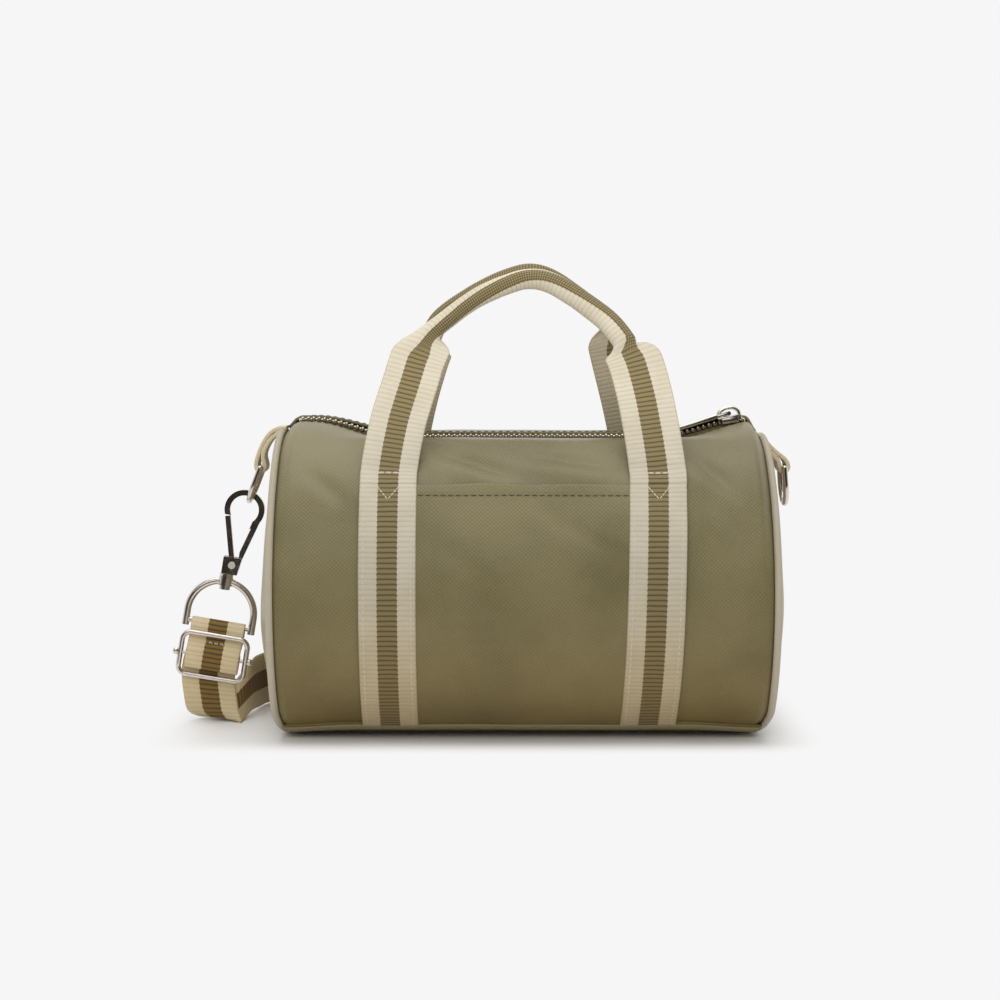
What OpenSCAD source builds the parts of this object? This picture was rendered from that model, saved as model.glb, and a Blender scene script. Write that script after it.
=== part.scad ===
// Small barrel bag with two grab handles, a zipped mouth and a clip-on shoulder strap.
// Millimetres. +Z is up, +X is to the right and the front faces -Y.
// The origin is the centre of the flat base, on the floor.

/* [Barrel] */
// Length of the barrel from rim to rim
barrel_len = 265; // [240:1:300]
// Radius of the barrel over the canvas
barrel_r = 89; // [85:1:94]
// Width of the flat base from front to back
base_w = 72; // [62:1:82]
// Height of the seam above the floor where base and body panels meet
base_seam_z = 4.2; // [3.2:0.2:5.6]
// Thickness of the coated canvas
canvas_t = 1.6; // [1.2:0.1:2]
// Thickness of the lining cloth
lining_t = 0.6; // [0.4:0.1:0.9]
// Bulge of each end panel beyond its rim
dome_h = 8.5; // [6:0.5:9]
// Radius of the piping round each rim
pipe_r = 2; // [1.6:0.1:2.4]
// Thickness of the stiffening board in the base
board_t = 2; // [1.5:0.1:2.2]

/* [Mouth and zip] */
// Dip of the zip line at the middle of the bag
zip_sag = 9; // [4:0.5:10]
// Distance from the zip line to the fold line of each mouth lip
lip_w = 40; // [34:1:44]
// Left end of the part of the mouth that opens
mouth_x0 = -100; // [-104:1:-90]
// Right end of the part of the mouth that opens
mouth_x1 = 70; // [60:1:72]
// Half the width of the slot between the two canvas edges
slot_half = 5.5; // [5.2:0.1:6]
// Pitch of the teeth along the zip
tooth_pitch = 3; // [2.6:0.1:3.6]
// Length of one tooth along the zip
tooth_len = 1.5; // [1.2:0.1:1.8]
// Thickness of the row of teeth
tooth_h = 3.2; // [2.8:0.1:3.4]
// Width of the row of teeth on each side
tooth_w = 2.6; // [2.2:0.1:2.8]
// Thickness of the zip tape
tape_t = 0.6; // [0.4:0.1:0.8]
// Distance of the slider inside the rim when the bag is shut
slider_in = 17.5; // [16.5:0.5:20]
// Length of the slider body
slider_len = 9; // [8:0.5:10]
// Length of the puller from its pin to its tip
puller_len = 38; // [30:1:40]
// Width of the puller
puller_w = 7; // [6:0.5:8]

/* [Webbing and handles] */
// Width of all the webbing
web_w = 30; // [26:1:32]
// Thickness of the webbing
web_t = 1.4; // [1:0.1:1.8]
// Place of the handle webbing to each side of the middle
leg_x = 71; // [66:1:74]
// Rise of the handle's grip above its seam, along the handle
handle_rise = 124; // [110:1:135]
// Lean of each handle towards the middle of the bag
handle_lean = 27.7; // [24:0.1:30]
// Thickness of the grip, where the webbing is folded lengthwise
grip_t = 4; // [3.4:0.2:5]

/* [End tabs and rings] */
// Width of the leather tabs
tab_w = 18; // [14:1:19]
// Thickness of the doubled leather
tab_t = 3.2; // [2.6:0.2:3.4]
// Distance of the ring's bar outside the rim
ring_out = 12; // [11.6:0.2:15]
// Depth of the ring's bar below the top of the barrel
ring_drop = 26.8; // [25:0.2:30]
// Radius of the ring's wire
ring_wire_r = 1.6; // [1.3:0.1:1.7]
// Inner width of the ring
ring_in_w = 20; // [19.5:0.5:22]
// Inner height of the ring
ring_in_h = 17; // [16.8:0.1:18]

/* [Snap hooks] */
// Half the width of the swivel loop, to the middle of its wire
loop_half = 18.5; // [18:0.5:20]
// Straight length of the swivel loop's legs above its bar
loop_leg = 6; // [5:0.5:8]
// Radius of the swivel loop's wire
loop_wire_r = 2; // [1.6:0.1:2.2]
// Radius of the bar across the swivel loop
loop_bar_r = 1.6; // [1.3:0.1:1.8]
// Radius of the hook's bow to the outside
bow_r = 11.1; // [10.8:0.1:11.6]
// Width of the hook's bow and shank
bow_w = 3.1; // [2.7:0.1:3.3]
// Thickness of the hook's bow
bow_t = 3.2; // [2.6:0.1:3.6]
// Thickness of the hook's base
hook_base_t = 6.4; // [6:0.2:7]
// Radius of the swivel stud
stud_r = 1.6; // [1.3:0.1:1.8]
// Radius of the pin that carries the gate
gate_pin_r = 1.1; // [0.9:0.1:1.2]

/* [Shoulder strap] */
// Outer width of the adjuster frame
adjuster_w = 37; // [36:0.5:39]
// Outer height of the adjuster frame
adjuster_h = 26.7; // [24:0.1:28]
// Radius of the adjuster's rails
rail_r = 1.15; // [1:0.05:1.3]
// Radius of the adjuster's loose bar
slide_bar_r = 1; // [0.8:0.1:1.1]
// Distance of the strap's foot outside the rim
foot_out = 26; // [25:0.5:30]
// Runs of strap that stand behind the bag
run_count = 5; // [5:2:5]
// Half the length of each run behind the bag
run_half = 108; // [90:1:112]
// Distance from one run to the next
run_step = 5; // [4.5:0.5:7]

/* [Hidden] */

olive = [0.47, 0.44, 0.31];
cream = [0.75, 0.70, 0.60];
nickel = [0.78, 0.76, 0.73];
leather = [0.80, 0.75, 0.66];
lining_grey = [0.45, 0.43, 0.38];

// Fits and joints that several pieces share
overrun = 1;
sewn_gap = 0.1;
run_gap = 0.05;
soft_gap = 0.3;

// Barrel
barrel_z = sqrt(pow(barrel_r, 2) - pow(base_w / 2, 2));
barrel_top = barrel_z + barrel_r;
panel_half = barrel_len / 2 - pipe_r - sewn_gap;
base_a = 180 - acos((barrel_z - base_seam_z - sewn_gap) / barrel_r);
skin_steps = 20;
x_steps = 6;
edge_steps = 3;
cross_steps = 4;
lip_a = asin(lip_w / barrel_r);
edge_a = asin(slot_half / barrel_r);
tack_row_count = 3;
pocket_row_count = 4;
slip_top_count = 8;
slip_low_count = 15;
slip_share = 0.2;
mouth_slant = 3;
dome_r = (pow(barrel_r - pipe_r, 2) + pow(dome_h, 2)) / (2 * dome_h);
dome_x = barrel_len / 2 + pipe_r + sewn_gap;
floor_gap = 0.4;
board_margin = 6;
board_edge = 5;

// Zip line: an arc in the XZ plane that passes through both rims
zip_r = (pow(panel_half, 2) + pow(zip_sag, 2)) / (2 * zip_sag);
zip_z = barrel_top - zip_sag + zip_r;
tooth_top = 0.2;
tooth_in = 0.6;
tape_drop = canvas_t + tape_t;
tape_w = 9;
zip_end_x = panel_half - sewn_gap;
slider_x = barrel_len / 2 - slider_in;
stop_len = 2.4;
plate_t = 1.2;
slider_w = 9.6;
post_t = 0.8;
cheek_t = 1.2;
crown_r = 3.4;
crown_w = 2.2;
pin_r = 1.2;
pin_rise = 4.8;
puller_t = 2.2;
puller_arm = 6;
tip_drop = pin_rise - tooth_top - soft_gap - puller_t / 2 - pow(puller_len, 2) / (2 * zip_r);
puller_dip = asin(tip_drop / puller_len);

// Handles
row_step = (base_a - lip_a) / skin_steps;
tack_a = lip_a + tack_row_count * row_step;
tack_y = (barrel_r + sewn_gap + web_t) * sin(tack_a);
tack_z = barrel_z + (barrel_r + sewn_gap + web_t) * cos(tack_a);
fold_start_share = 0.52;
fold_end_share = 0.72;
grip_w = web_w / 2;
shoulder_share = 0.3;
crest_share = 0.35;
leg_lean_share = 0.07;
// Feet, shoulders and crest of each handle: sideways as shares of leg_x, upwards of handle_rise
front_handle_shares = [[-1, 0], [-0.75, 0.68], [0.07, 1.03], [0.8, 0.68], [1.02, 0]];
back_handle_shares = [[-1, 0], [-0.75, 0.68], [0.04, 1.03], [0.66, 0.68], [0.93, 0]];

// Tabs and rings
ring_bar_x = barrel_len / 2 + ring_out;
ring_bar_z = barrel_top - ring_drop;
tab_top_x = barrel_len / 2 + pipe_r + soft_gap + tab_t / 2;
tab_top_z = barrel_top - tab_t;
ring_leg = ring_in_h - ring_in_w / 2 + ring_wire_r;
ring_arc_r = ring_in_w / 2 + ring_wire_r;
left_ring_tilt = 21;
right_ring_tilt = 4;

// Hook chain: local z runs from the loop's bar to the hook, local x across it
chain_tilt = 9.5;
chain_out = 37;
chain_drop = 88;
chain_x = -(barrel_len / 2 + chain_out);
chain_z = ring_bar_z - chain_drop;
loop_top = loop_leg + loop_half;
loop_foot = 3;
boss_r = 4;
boss_h = 4.8;
collar_r = 3.8;
collar_h = 2;
stud_head_r = 3;
stud_head_h = 2.1;
axial_gap = 0.1;
bow_x = 4.3;
bow_z = 41.3;
base_z = boss_h / 2 + axial_gap + collar_h;
base_top_z = 14;
pivot_x = 2.3;
pivot_z = 9.65;
knuckle_r = 2.9;
gate_w = 3;
gate_t = 3;
gate_tip_x = -4.4;
gate_tip_z = 36.6;
slot_t = 3.3;
slot_right = 5.3;
base_in_share = 0.72;
pin_head_r = 2;
pin_head_h = 0.8;

// Strap end folds, adjuster and strap
fold_r = loop_bar_r + run_gap + web_t;
fold_len = 8;
strap_n = fold_r - web_t / 2;
adjuster_v = -18;
adjuster_n = -fold_r - soft_gap - rail_r;
frame_corner_r = 4;
side_w = 2.3;
side_depth = 4.4;
side_half = adjuster_h / 2 - frame_corner_r;
slot_half_v = 4.2;
ball_r = 1.8;
wrap_r = slide_bar_r + run_gap + web_t;
foot = [-(barrel_len / 2 + foot_out), 0, 0];
hang_share = 0.54;
hang_rise = hang_share * chain_z;
hang_count = 3;
// Left and right edges of the strap where it meets the floor, from its foot, as shares of web_w;
// the first points, where the strap still hangs, rise by shares of hang_rise
left_edge_shares = [[-1.067, -0.02, 1], [-1.033, 0.03, 0.533], [-0.933, 0.2, 0.167],
    [-0.717, 0.467, 0.06], [-0.483, 0.667, 0.2], [-0.217, 0.75, 0.533], [0, 0.9, 0.883],
    [0.217, 1.733, 1.033]];
right_edge_shares = [[-0.067, -0.02, 0.85], [-0.043, -0.01, 0.467], [-0.017, -0.03, 0.167],
    [0, -0.067, 0.05], [0.017, -0.033, 0.04], [0.033, 0.067, 0.033], [0.083, 0.333, 0.03],
    [0.233, 1.667, 0.03]];
strap_lift_share = 0.03;
strap_z = strap_lift_share * web_w;
strap_run_gap = 4.5;
run_y = sqrt(pow(barrel_r, 2) - pow(barrel_z - web_w, 2)) + strap_run_gap;
last_run_y = run_y + (run_count - 1) * run_step;
bend_steps = 5;
turn_steps = 6;
tail_x = -75;
// Lower edge of the strap's tail from the last run, as shares of web_w, and its lean from flat
tail_shares = [[0, 0, 0.03], [0.8, 0.02, 0.03], [1.55, 0.05, 0.03], [2.2, 0.07, 0.06], [2.75, 0.07, 0.15]];
tail_leans = [90, 70, 45, 20, 4];
free_tip = 3;
free_reach_share = 3.3;
free_side_share = 0.57;
free_x = tail_x + free_reach_share * web_w;
free_y = last_run_y + free_side_share * web_w;
free_z = hook_base_t / 2 + run_gap + pin_head_h + sewn_gap + (loop_top + pivot_z) * sin(free_tip);

// Small helpers
function unit(v) = v / norm(v);
function mix(a, b, share) = a + (b - a) * share;
function bezier(a, b, c, steps) = [for (i = [0:steps])
    mix(mix(a, b, i / steps), mix(b, c, i / steps), i / steps)];
function smooth(t) = t <= 0 ? 0 : t >= 1 ? 1 : t * t * (3 - 2 * t);
function spaced(a, b, steps) = [for (i = [0:steps]) a + (b - a) * i / steps];

// The skin of the barrel: a is the angle from the top towards the front, off the distance outside it
function drop(x) = sqrt(pow(zip_r, 2) - pow(x, 2)) - (zip_r - zip_sag);
function sag_share(a) = a < lip_a ? pow(cos(90 * a / lip_a), 2) : 0;
function skin(x, a, off) = [x, -(barrel_r + off) * sin(a),
    barrel_z + (barrel_r + off) * cos(a) - drop(x) * sag_share(a)];
function row_a(k) = lip_a + k * row_step;
function top_a(x) = x >= mouth_x0 && x <= mouth_x1 ? lip_a : edge_a;
function leg_lean(side, k) = side > 0 ? leg_lean_share * leg_x * (k - tack_row_count) / skin_steps : 0;
function leg_shift(side, k) = side * (leg_x - leg_lean(side, k));

// A thin closed sheet between two grids of points, rows by columns
module slab(top, under) {
    n = len(top);
    m = len(top[0]);
    last = n * m;
    skin_faces = [for (i = [0:n - 2], j = [0:m - 2]) each [
        [i * m + j, (i + 1) * m + j, (i + 1) * m + j + 1],
        [i * m + j, (i + 1) * m + j + 1, i * m + j + 1]]];
    back_faces = [for (f = skin_faces) [f[2] + last, f[1] + last, f[0] + last]];
    long_faces = [for (i = [0:n - 2]) each [
        [(i + 1) * m, i * m, last + i * m],
        [(i + 1) * m, last + i * m, last + (i + 1) * m],
        [i * m + m - 1, (i + 1) * m + m - 1, last + (i + 1) * m + m - 1],
        [i * m + m - 1, last + (i + 1) * m + m - 1, last + i * m + m - 1]]];
    end = (n - 1) * m;
    short_faces = [for (j = [0:m - 2]) each [
        [j, j + 1, last + j + 1],
        [j, last + j + 1, last + j],
        [end + j + 1, end + j, last + end + j],
        [end + j + 1, last + end + j, last + end + j + 1]]];
    polyhedron(concat([for (row = top) each row], [for (row = under) each row]),
        concat(skin_faces, back_faces, long_faces, short_faces));
}

// A strip of webbing between two edges, with one thickness for each pair of points
module ribbon(a, b, thick) {
    n = len(a);
    mid = [for (i = [0:n - 1]) (a[i] + b[i]) / 2];
    normal = [for (i = [0:n - 1]) unit(cross(mid[min(i + 1, n - 1)] - mid[max(i - 1, 0)], b[i] - a[i]))];
    slab([for (i = [0:n - 1]) [a[i] - normal[i] * thick[i] / 2, b[i] - normal[i] * thick[i] / 2]],
        [for (i = [0:n - 1]) [a[i] + normal[i] * thick[i] / 2, b[i] + normal[i] * thick[i] / 2]]);
}

// A patch of the barrel's skin between two offsets
module skin_patch(xs, angles, inner, outer) {
    slab([for (x = xs) [for (a = angles) skin(x, a, outer)]],
        [for (x = xs) [for (a = angles) skin(x, a, inner)]]);
}

module to_back() {
    mirror([0, 1, 0]) children();
}

module to_left() {
    mirror([1, 0, 0]) children();
}

// Body panel: round the barrel from the mouth down to the base seam
module body_panel() {
    xs = concat(spaced(-panel_half, mouth_x0 - mouth_slant, 1), spaced(mouth_x0, mouth_x1, x_steps),
        spaced(mouth_x1 + mouth_slant, panel_half, edge_steps));
    rows = [for (x = xs)
        concat(spaced(top_a(x), lip_a + row_step / 2, edge_steps), [for (k = [1:skin_steps]) row_a(k)])];
    slab([for (i = [0:len(xs) - 1]) [for (a = rows[i]) skin(xs[i], a, 0)]],
        [for (i = [0:len(xs) - 1]) [for (a = rows[i]) skin(xs[i], a, -canvas_t)]]);
}

module front_panel() {
    color(olive) body_panel();
}

module back_panel() {
    color(olive) to_back() body_panel();
}

// Base: a flat strip whose long edges turn up to the seam
module base_panel() {
    color(olive) translate([-panel_half, 0, 0]) rotate([90, 0, 90]) linear_extrude(2 * panel_half)
        intersection() {
            difference() {
                translate([0, barrel_z]) circle(barrel_r, $fn = 120);
                translate([-barrel_r, canvas_t]) square([2 * barrel_r, 2 * barrel_r]);
            }
            translate([-barrel_r, 0]) square([2 * barrel_r, canvas_t]);
        }
    color(olive) base_edge();
    color(olive) to_back() base_edge();
}

module base_edge() {
    translate([-panel_half, 0, 0]) rotate([90, 0, 90]) linear_extrude(2 * panel_half)
        intersection() {
            difference() {
                translate([0, barrel_z]) circle(barrel_r, $fn = 120);
                translate([0, barrel_z]) circle(barrel_r - canvas_t, $fn = 120);
            }
            translate([-barrel_r, canvas_t]) square([barrel_r, base_seam_z - canvas_t]);
        }
}

// Stiffening board between the base panel and the lining
module base_board() {
    board_w = 2 * sqrt(pow(barrel_r, 2) - pow(barrel_z - canvas_t, 2)) - 2 * board_edge;
    color(cream) translate([-panel_half + board_margin, -board_w / 2, canvas_t + sewn_gap])
        cube([2 * (panel_half - board_margin), board_w, board_t]);
}

// Lining: a sock from just below one fold line under to the other, and two end discs
module lining() {
    outer = -canvas_t - soft_gap;
    lining_z = canvas_t + board_t + 3 * sewn_gap + lining_t;
    low_a = 180 - acos((barrel_z - lining_z) / (barrel_r + outer - lining_t));
    disc_x = panel_half - lining_t - sewn_gap;
    xs = spaced(-disc_x + sewn_gap, disc_x - sewn_gap, x_steps);
    angles = spaced(lip_a + row_step / 2, low_a, skin_steps);
    top = [for (x = xs) sock_row(x, angles, outer)];
    under = [for (x = xs) sock_row(x, angles, outer - lining_t)];
    color(lining_grey) slab(top, under);
    color(lining_grey) lining_disc(disc_x);
    color(lining_grey) to_left() lining_disc(disc_x);
}

// One row of the sock: down the front and up the back
function sock_row(x, angles, off) = let (row = [for (a = angles) skin(x, a, off)])
    concat(row, [for (i = [skin_steps:-1:0]) [row[i][0], -row[i][1], row[i][2]]]);

module lining_disc(disc_x) {
    translate([disc_x, 0, barrel_z]) rotate([0, 90, 0]) difference() {
        cylinder(h = lining_t, r = barrel_r - canvas_t - zip_sag - 2 * sewn_gap, $fn = 96);
        translate([barrel_z - canvas_t - board_t - sewn_gap, -barrel_r, -overrun])
            cube([barrel_r, 2 * barrel_r, lining_t + 2 * overrun]);
    }
}

// Slip pocket sewn to the back lining
module inner_pocket() {
    outer = -canvas_t - soft_gap - 2 * sewn_gap - lining_t;
    half = slip_share * barrel_len;
    color(lining_grey) to_back() skin_patch([-half, 0, half],
        [for (k = [slip_top_count:slip_low_count]) row_a(k)], outer - lining_t, outer);
}

// End panel: a shallow dome cut flat just above the floor
module end_panel() {
    dome_mid = dome_x + dome_h - dome_r;
    color(cream) difference() {
        translate([0, 0, barrel_z]) rotate([0, 90, 0]) rotate_extrude($fn = 160) intersection() {
            difference() {
                translate([0, dome_mid]) circle(dome_r, $fn = 360);
                translate([0, dome_mid]) circle(dome_r - canvas_t, $fn = 360);
            }
            translate([0, dome_x]) square([barrel_r - pipe_r, dome_h + overrun]);
        }
        translate([dome_x - overrun, -barrel_r, -barrel_r + floor_gap])
            cube([dome_h + 2 * overrun, 2 * barrel_r, barrel_r]);
    }
}

// Piping: a round cord in each rim seam, closed along the base, with a knot at each corner
module piping() {
    mid_r = barrel_r - sewn_gap;
    knot_r = pipe_r + sewn_gap;
    low = barrel_z - knot_r;
    half = sqrt(pow(mid_r, 2) - pow(low, 2));
    open_a = atan2(half, low);
    color(cream) union() {
        translate([barrel_len / 2, 0, barrel_z]) rotate([0, 90, 0]) rotate([0, 0, open_a])
            rotate_extrude(angle = 360 - 2 * open_a, $fn = 120) translate([mid_r, 0])
                circle(pipe_r, $fn = 24);
        translate([barrel_len / 2, half, knot_r]) rotate([90, 0, 0])
            cylinder(h = 2 * half, r = pipe_r, $fn = 24);
        for (side = [-1, 1]) translate([barrel_len / 2, side * half, knot_r]) sphere(knot_r, $fn = 48);
    }
}

// Front pocket between the two strips of webbing
module front_pocket() {
    rows = [for (k = [pocket_row_count:skin_steps]) k];
    shares = spaced(0, 1, cross_steps);
    color(olive) slab([for (share = shares) [for (k = rows) skin(pocket_x(share, k), row_a(k), canvas_t)]],
        [for (share = shares) [for (k = rows) skin(pocket_x(share, k), row_a(k), sewn_gap)]]);
}

function pocket_x(share, k) = mix(leg_shift(-1, k) + web_w / 2 + sewn_gap,
    leg_shift(1, k) - web_w / 2 - sewn_gap, share);

// Webbing sewn to the barrel, from the base seam up to the handle's bar tack
module sewn_webbing(side) {
    rows = [for (k = [tack_row_count:skin_steps]) k];
    color(cream) slab([for (edge = [-1, 0, 1]) [for (k = rows)
            skin(leg_shift(side, k) + edge * web_w / 2, row_a(k), sewn_gap + web_t)]],
        [for (edge = [-1, 0, 1]) [for (k = rows)
            skin(leg_shift(side, k) + edge * web_w / 2, row_a(k), sewn_gap)]]);
}

// Mouth lip: the canvas between the fold line and the zip
module mouth_lip() {
    color(olive) skin_patch(spaced(mouth_x0 + soft_gap, mouth_x1 - soft_gap, x_steps),
        spaced(edge_a, lip_a - asin(soft_gap / barrel_r), cross_steps), -canvas_t, 0);
}

// One band along the zip's arc between two places, with a square section
module zip_band(x0, x1, y0, y1, low, high) {
    a0 = asin(x0 / zip_r);
    a1 = asin(x1 / zip_r);
    translate([0, 0, zip_z]) rotate([90, 0, 0]) rotate([0, 0, a0 - 90])
        rotate_extrude(angle = a1 - a0, $fn = 720) translate([zip_r - high, -y1])
            square([high - low, y1 - y0]);
}

module zip_tape(x0, x1) {
    color(olive) zip_band(x0, x1, tooth_in + tooth_w + sewn_gap, tape_w, -tape_drop - tape_t, -tape_drop);
}

// A row of teeth between two places along the zip; the other row is half a pitch on
module zip_teeth(x0, x1, shift) {
    pitch_a = asin(tooth_pitch / zip_r);
    first = ceil(asin((x0 + tooth_len) / zip_r) / pitch_a - shift);
    last = floor(asin((x1 - tooth_len) / zip_r) / pitch_a - shift);
    color(nickel) for (i = [first:last])
        translate([0, 0, zip_z]) rotate([0, -(i + shift) * pitch_a, 0])
            translate([-tooth_len / 2, tooth_in, -zip_r + tooth_top - tooth_h])
                cube([tooth_len, tooth_w, tooth_h]);
}

// Fixed ends of the zip: tapes and teeth beyond the part of the mouth that opens
module zip_end(x0, x1) {
    zip_tape(x0, x1);
    to_back() zip_tape(x0, x1);
    zip_teeth(x0, x1, 0);
    to_back() zip_teeth(x0, x1, 1 / 2);
}

module along_zip(x) {
    translate([0, 0, zip_z]) rotate([0, -asin(x / zip_r), 0]) translate([0, 0, -zip_r]) children();
}

// Metal stops across both rows of teeth at the ends of the zip
module zip_stops() {
    low = tooth_top + sewn_gap;
    color(nickel) for (x = [-slider_x - slider_len / 2 - stop_len, slider_x + slider_len / 2 + stop_len])
        along_zip(x) translate([-stop_len / 2, -tooth_in - tooth_w, low])
            cube([stop_len, 2 * (tooth_in + tooth_w), plate_t]);
}

// Slider: two plates joined by a post, with cheeks round the teeth and a crown for the puller
module zip_slider() {
    top_z = tooth_top + soft_gap / 2;
    low_z = tooth_top - tooth_h - soft_gap / 2;
    cheek_y = tooth_in + tooth_w + soft_gap / 2;
    color(nickel) along_zip(slider_x) difference() {
        union() {
            translate([-slider_len / 2, -slider_w / 2, top_z]) cube([slider_len, slider_w, plate_t]);
            translate([-slider_len / 2, -slider_w / 2, low_z - plate_t])
                cube([slider_len, slider_w, plate_t]);
            translate([slider_len / 4, -post_t / 2, low_z - overrun / 2])
                cube([slider_len / 4, post_t, top_z - low_z + overrun]);
            for (side = [-1, 1]) translate([0, side * (cheek_y + cheek_t / 2), 0])
                translate([-slider_len / 2, -cheek_t / 2, -tape_drop + soft_gap / 2])
                    cube([slider_len, cheek_t, top_z + tape_drop]);
            translate([0, crown_w / 2, top_z + plate_t]) rotate([90, 0, 0]) linear_extrude(crown_w)
                crown_outline(top_z);
        }
        translate([0, slider_w, pin_rise]) rotate([90, 0, 0])
            cylinder(h = 2 * slider_w, r = pin_r + run_gap, $fn = 32);
    }
}

module crown_outline(top_z) {
    translate([0, pin_rise - top_z - plate_t]) circle(crown_r, $fn = 48);
    translate([-crown_r, -plate_t / 2]) square([2 * crown_r, pin_rise - top_z - plate_t / 2]);
}

// Puller: a plain bar whose two arms hold a pin through the slider's crown
module zip_puller() {
    arm_y = crown_w / 2 + soft_gap / 2;
    color(nickel) along_zip(slider_x) translate([0, 0, pin_rise]) rotate([0, -puller_dip, 0]) difference() {
        union() {
            translate([0, puller_w / 2, 0]) rotate([90, 0, 0]) cylinder(h = puller_w, r = pin_r, $fn = 32);
            translate([-puller_len + puller_w / 2, -puller_w / 2, -puller_t / 2])
                cube([puller_len - puller_w / 2, puller_w, puller_t]);
            translate([-puller_len + puller_w / 2, 0, -puller_t / 2])
                cylinder(h = puller_t, r = puller_w / 2, $fn = 48);
        }
        difference() {
            translate([-puller_arm, -arm_y, -puller_t])
                cube([puller_arm + puller_t, 2 * arm_y, 2 * puller_t]);
            translate([0, puller_w / 2, 0]) rotate([90, 0, 0]) cylinder(h = puller_w, r = pin_r, $fn = 32);
        }
    }
}

// Handle: flat webbing up each leg, folded lengthwise to a narrow grip between the shoulders
module handle(shares) {
    p = [for (s = shares) [s[0] * leg_x, s[1] * handle_rise]];
    foot_gap = [0, soft_gap];
    path = concat([p[0] + foot_gap],
        bezier(mix(p[1], p[0], shoulder_share), p[1], mix(p[1], p[2], crest_share), bend_steps),
        bezier(mix(p[2], p[1], crest_share), p[2], mix(p[2], p[3], crest_share), bend_steps),
        bezier(mix(p[3], p[2], crest_share), p[3], mix(p[3], p[4], shoulder_share), bend_steps),
        [p[4] + foot_gap]);
    last = len(path) - 1;
    heading = [for (i = [0:last]) i == 0 ? [0, 1] : i == last ? [0, -1] : unit(path[i + 1] - path[i - 1])];
    fold_share = fold_end_share - fold_start_share;
    folded = [for (q = path) smooth((q[1] / handle_rise - fold_start_share) / fold_share)];
    half = [for (f = folded) mix(web_w, grip_w, f) / 2];
    outer = [for (i = [0:last]) path[i] + [-heading[i][1], heading[i][0]] * half[i]];
    inner = [for (i = [0:last]) path[i] - [-heading[i][1], heading[i][0]] * half[i]];
    color(cream) ribbon([for (q = outer) in_handle(q)], [for (q = inner) in_handle(q)],
        [for (f = folded) mix(web_t, grip_t, f)]);
}

function in_handle(q) = [q[0], -tack_y + q[1] * sin(handle_lean) + web_t / 2 * cos(handle_lean),
    tack_z + q[1] * cos(handle_lean) - web_t / 2 * sin(handle_lean)];

// Leather tab at the top of each end, with a loop for the ring's bar
module tab() {
    loop_r = ring_wire_r + run_gap + tab_t / 2;
    along = unit([ring_bar_x - tab_top_x, ring_bar_z - tab_top_z]);
    across = [-along[1], along[0]] * tab_t / 2;
    top = [tab_top_x, tab_top_z];
    bar = [ring_bar_x, ring_bar_z];
    color(leather) translate([0, tab_w / 2, 0]) rotate([90, 0, 0]) linear_extrude(tab_w) difference() {
        union() {
            polygon([top + across, bar + across, bar - across, top - across]);
            translate(bar) circle(loop_r, $fn = 48);
        }
        translate(bar) circle(ring_wire_r + run_gap, $fn = 48);
    }
}

// Ring: a bar through the tab, two legs and a half round
module ring(tilt) {
    color(nickel) translate([ring_bar_x, 0, ring_bar_z]) rotate([0, -tilt, 0]) union() {
        translate([0, ring_arc_r, 0]) rotate([90, 0, 0])
            cylinder(h = 2 * ring_arc_r, r = ring_wire_r, $fn = 32);
        for (side = [-1, 1]) {
            translate([0, side * ring_arc_r, -ring_leg]) cylinder(h = ring_leg, r = ring_wire_r, $fn = 32);
            translate([0, side * ring_arc_r, 0]) sphere(ring_wire_r, $fn = 32);
        }
        translate([0, 0, -ring_leg]) rotate([0, 90, 0]) rotate([0, 0, -90])
            rotate_extrude(angle = 180, $fn = 64) translate([ring_arc_r, 0]) circle(ring_wire_r, $fn = 32);
    }
}

// The two hook chains: one hangs on the left ring, the free one lies flat behind the bag
module on_clip() {
    translate([chain_x, 0, chain_z]) rotate([0, chain_tilt, 0]) children();
}

module on_free() {
    translate([free_x, free_y, free_z]) rotate([0, 90 + free_tip, 0]) rotate([0, 0, 90]) children();
}

// Swivel loop: an arch with a bar for the webbing and a bored boss for the hook's stud
module swivel_loop() {
    color(nickel) difference() {
        union() {
            translate([0, 0, loop_leg]) rotate([90, 0, 0])
                rotate_extrude(angle = 180, $fn = 96) translate([loop_half, 0])
                    circle(loop_wire_r, $fn = 32);
            for (side = [-1, 1]) translate([side * loop_half, 0, -loop_foot])
                cylinder(h = loop_leg + loop_foot, r = loop_wire_r, $fn = 32);
            translate([-loop_half, 0, 0]) rotate([0, 90, 0])
                cylinder(h = 2 * loop_half, r = loop_bar_r, $fn = 32);
            translate([0, 0, loop_top - boss_h / 2]) cylinder(h = boss_h, r = boss_r, $fn = 48);
        }
        translate([0, 0, loop_top - boss_h]) cylinder(h = 2 * boss_h, r = stud_r + run_gap, $fn = 32);
    }
}

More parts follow.
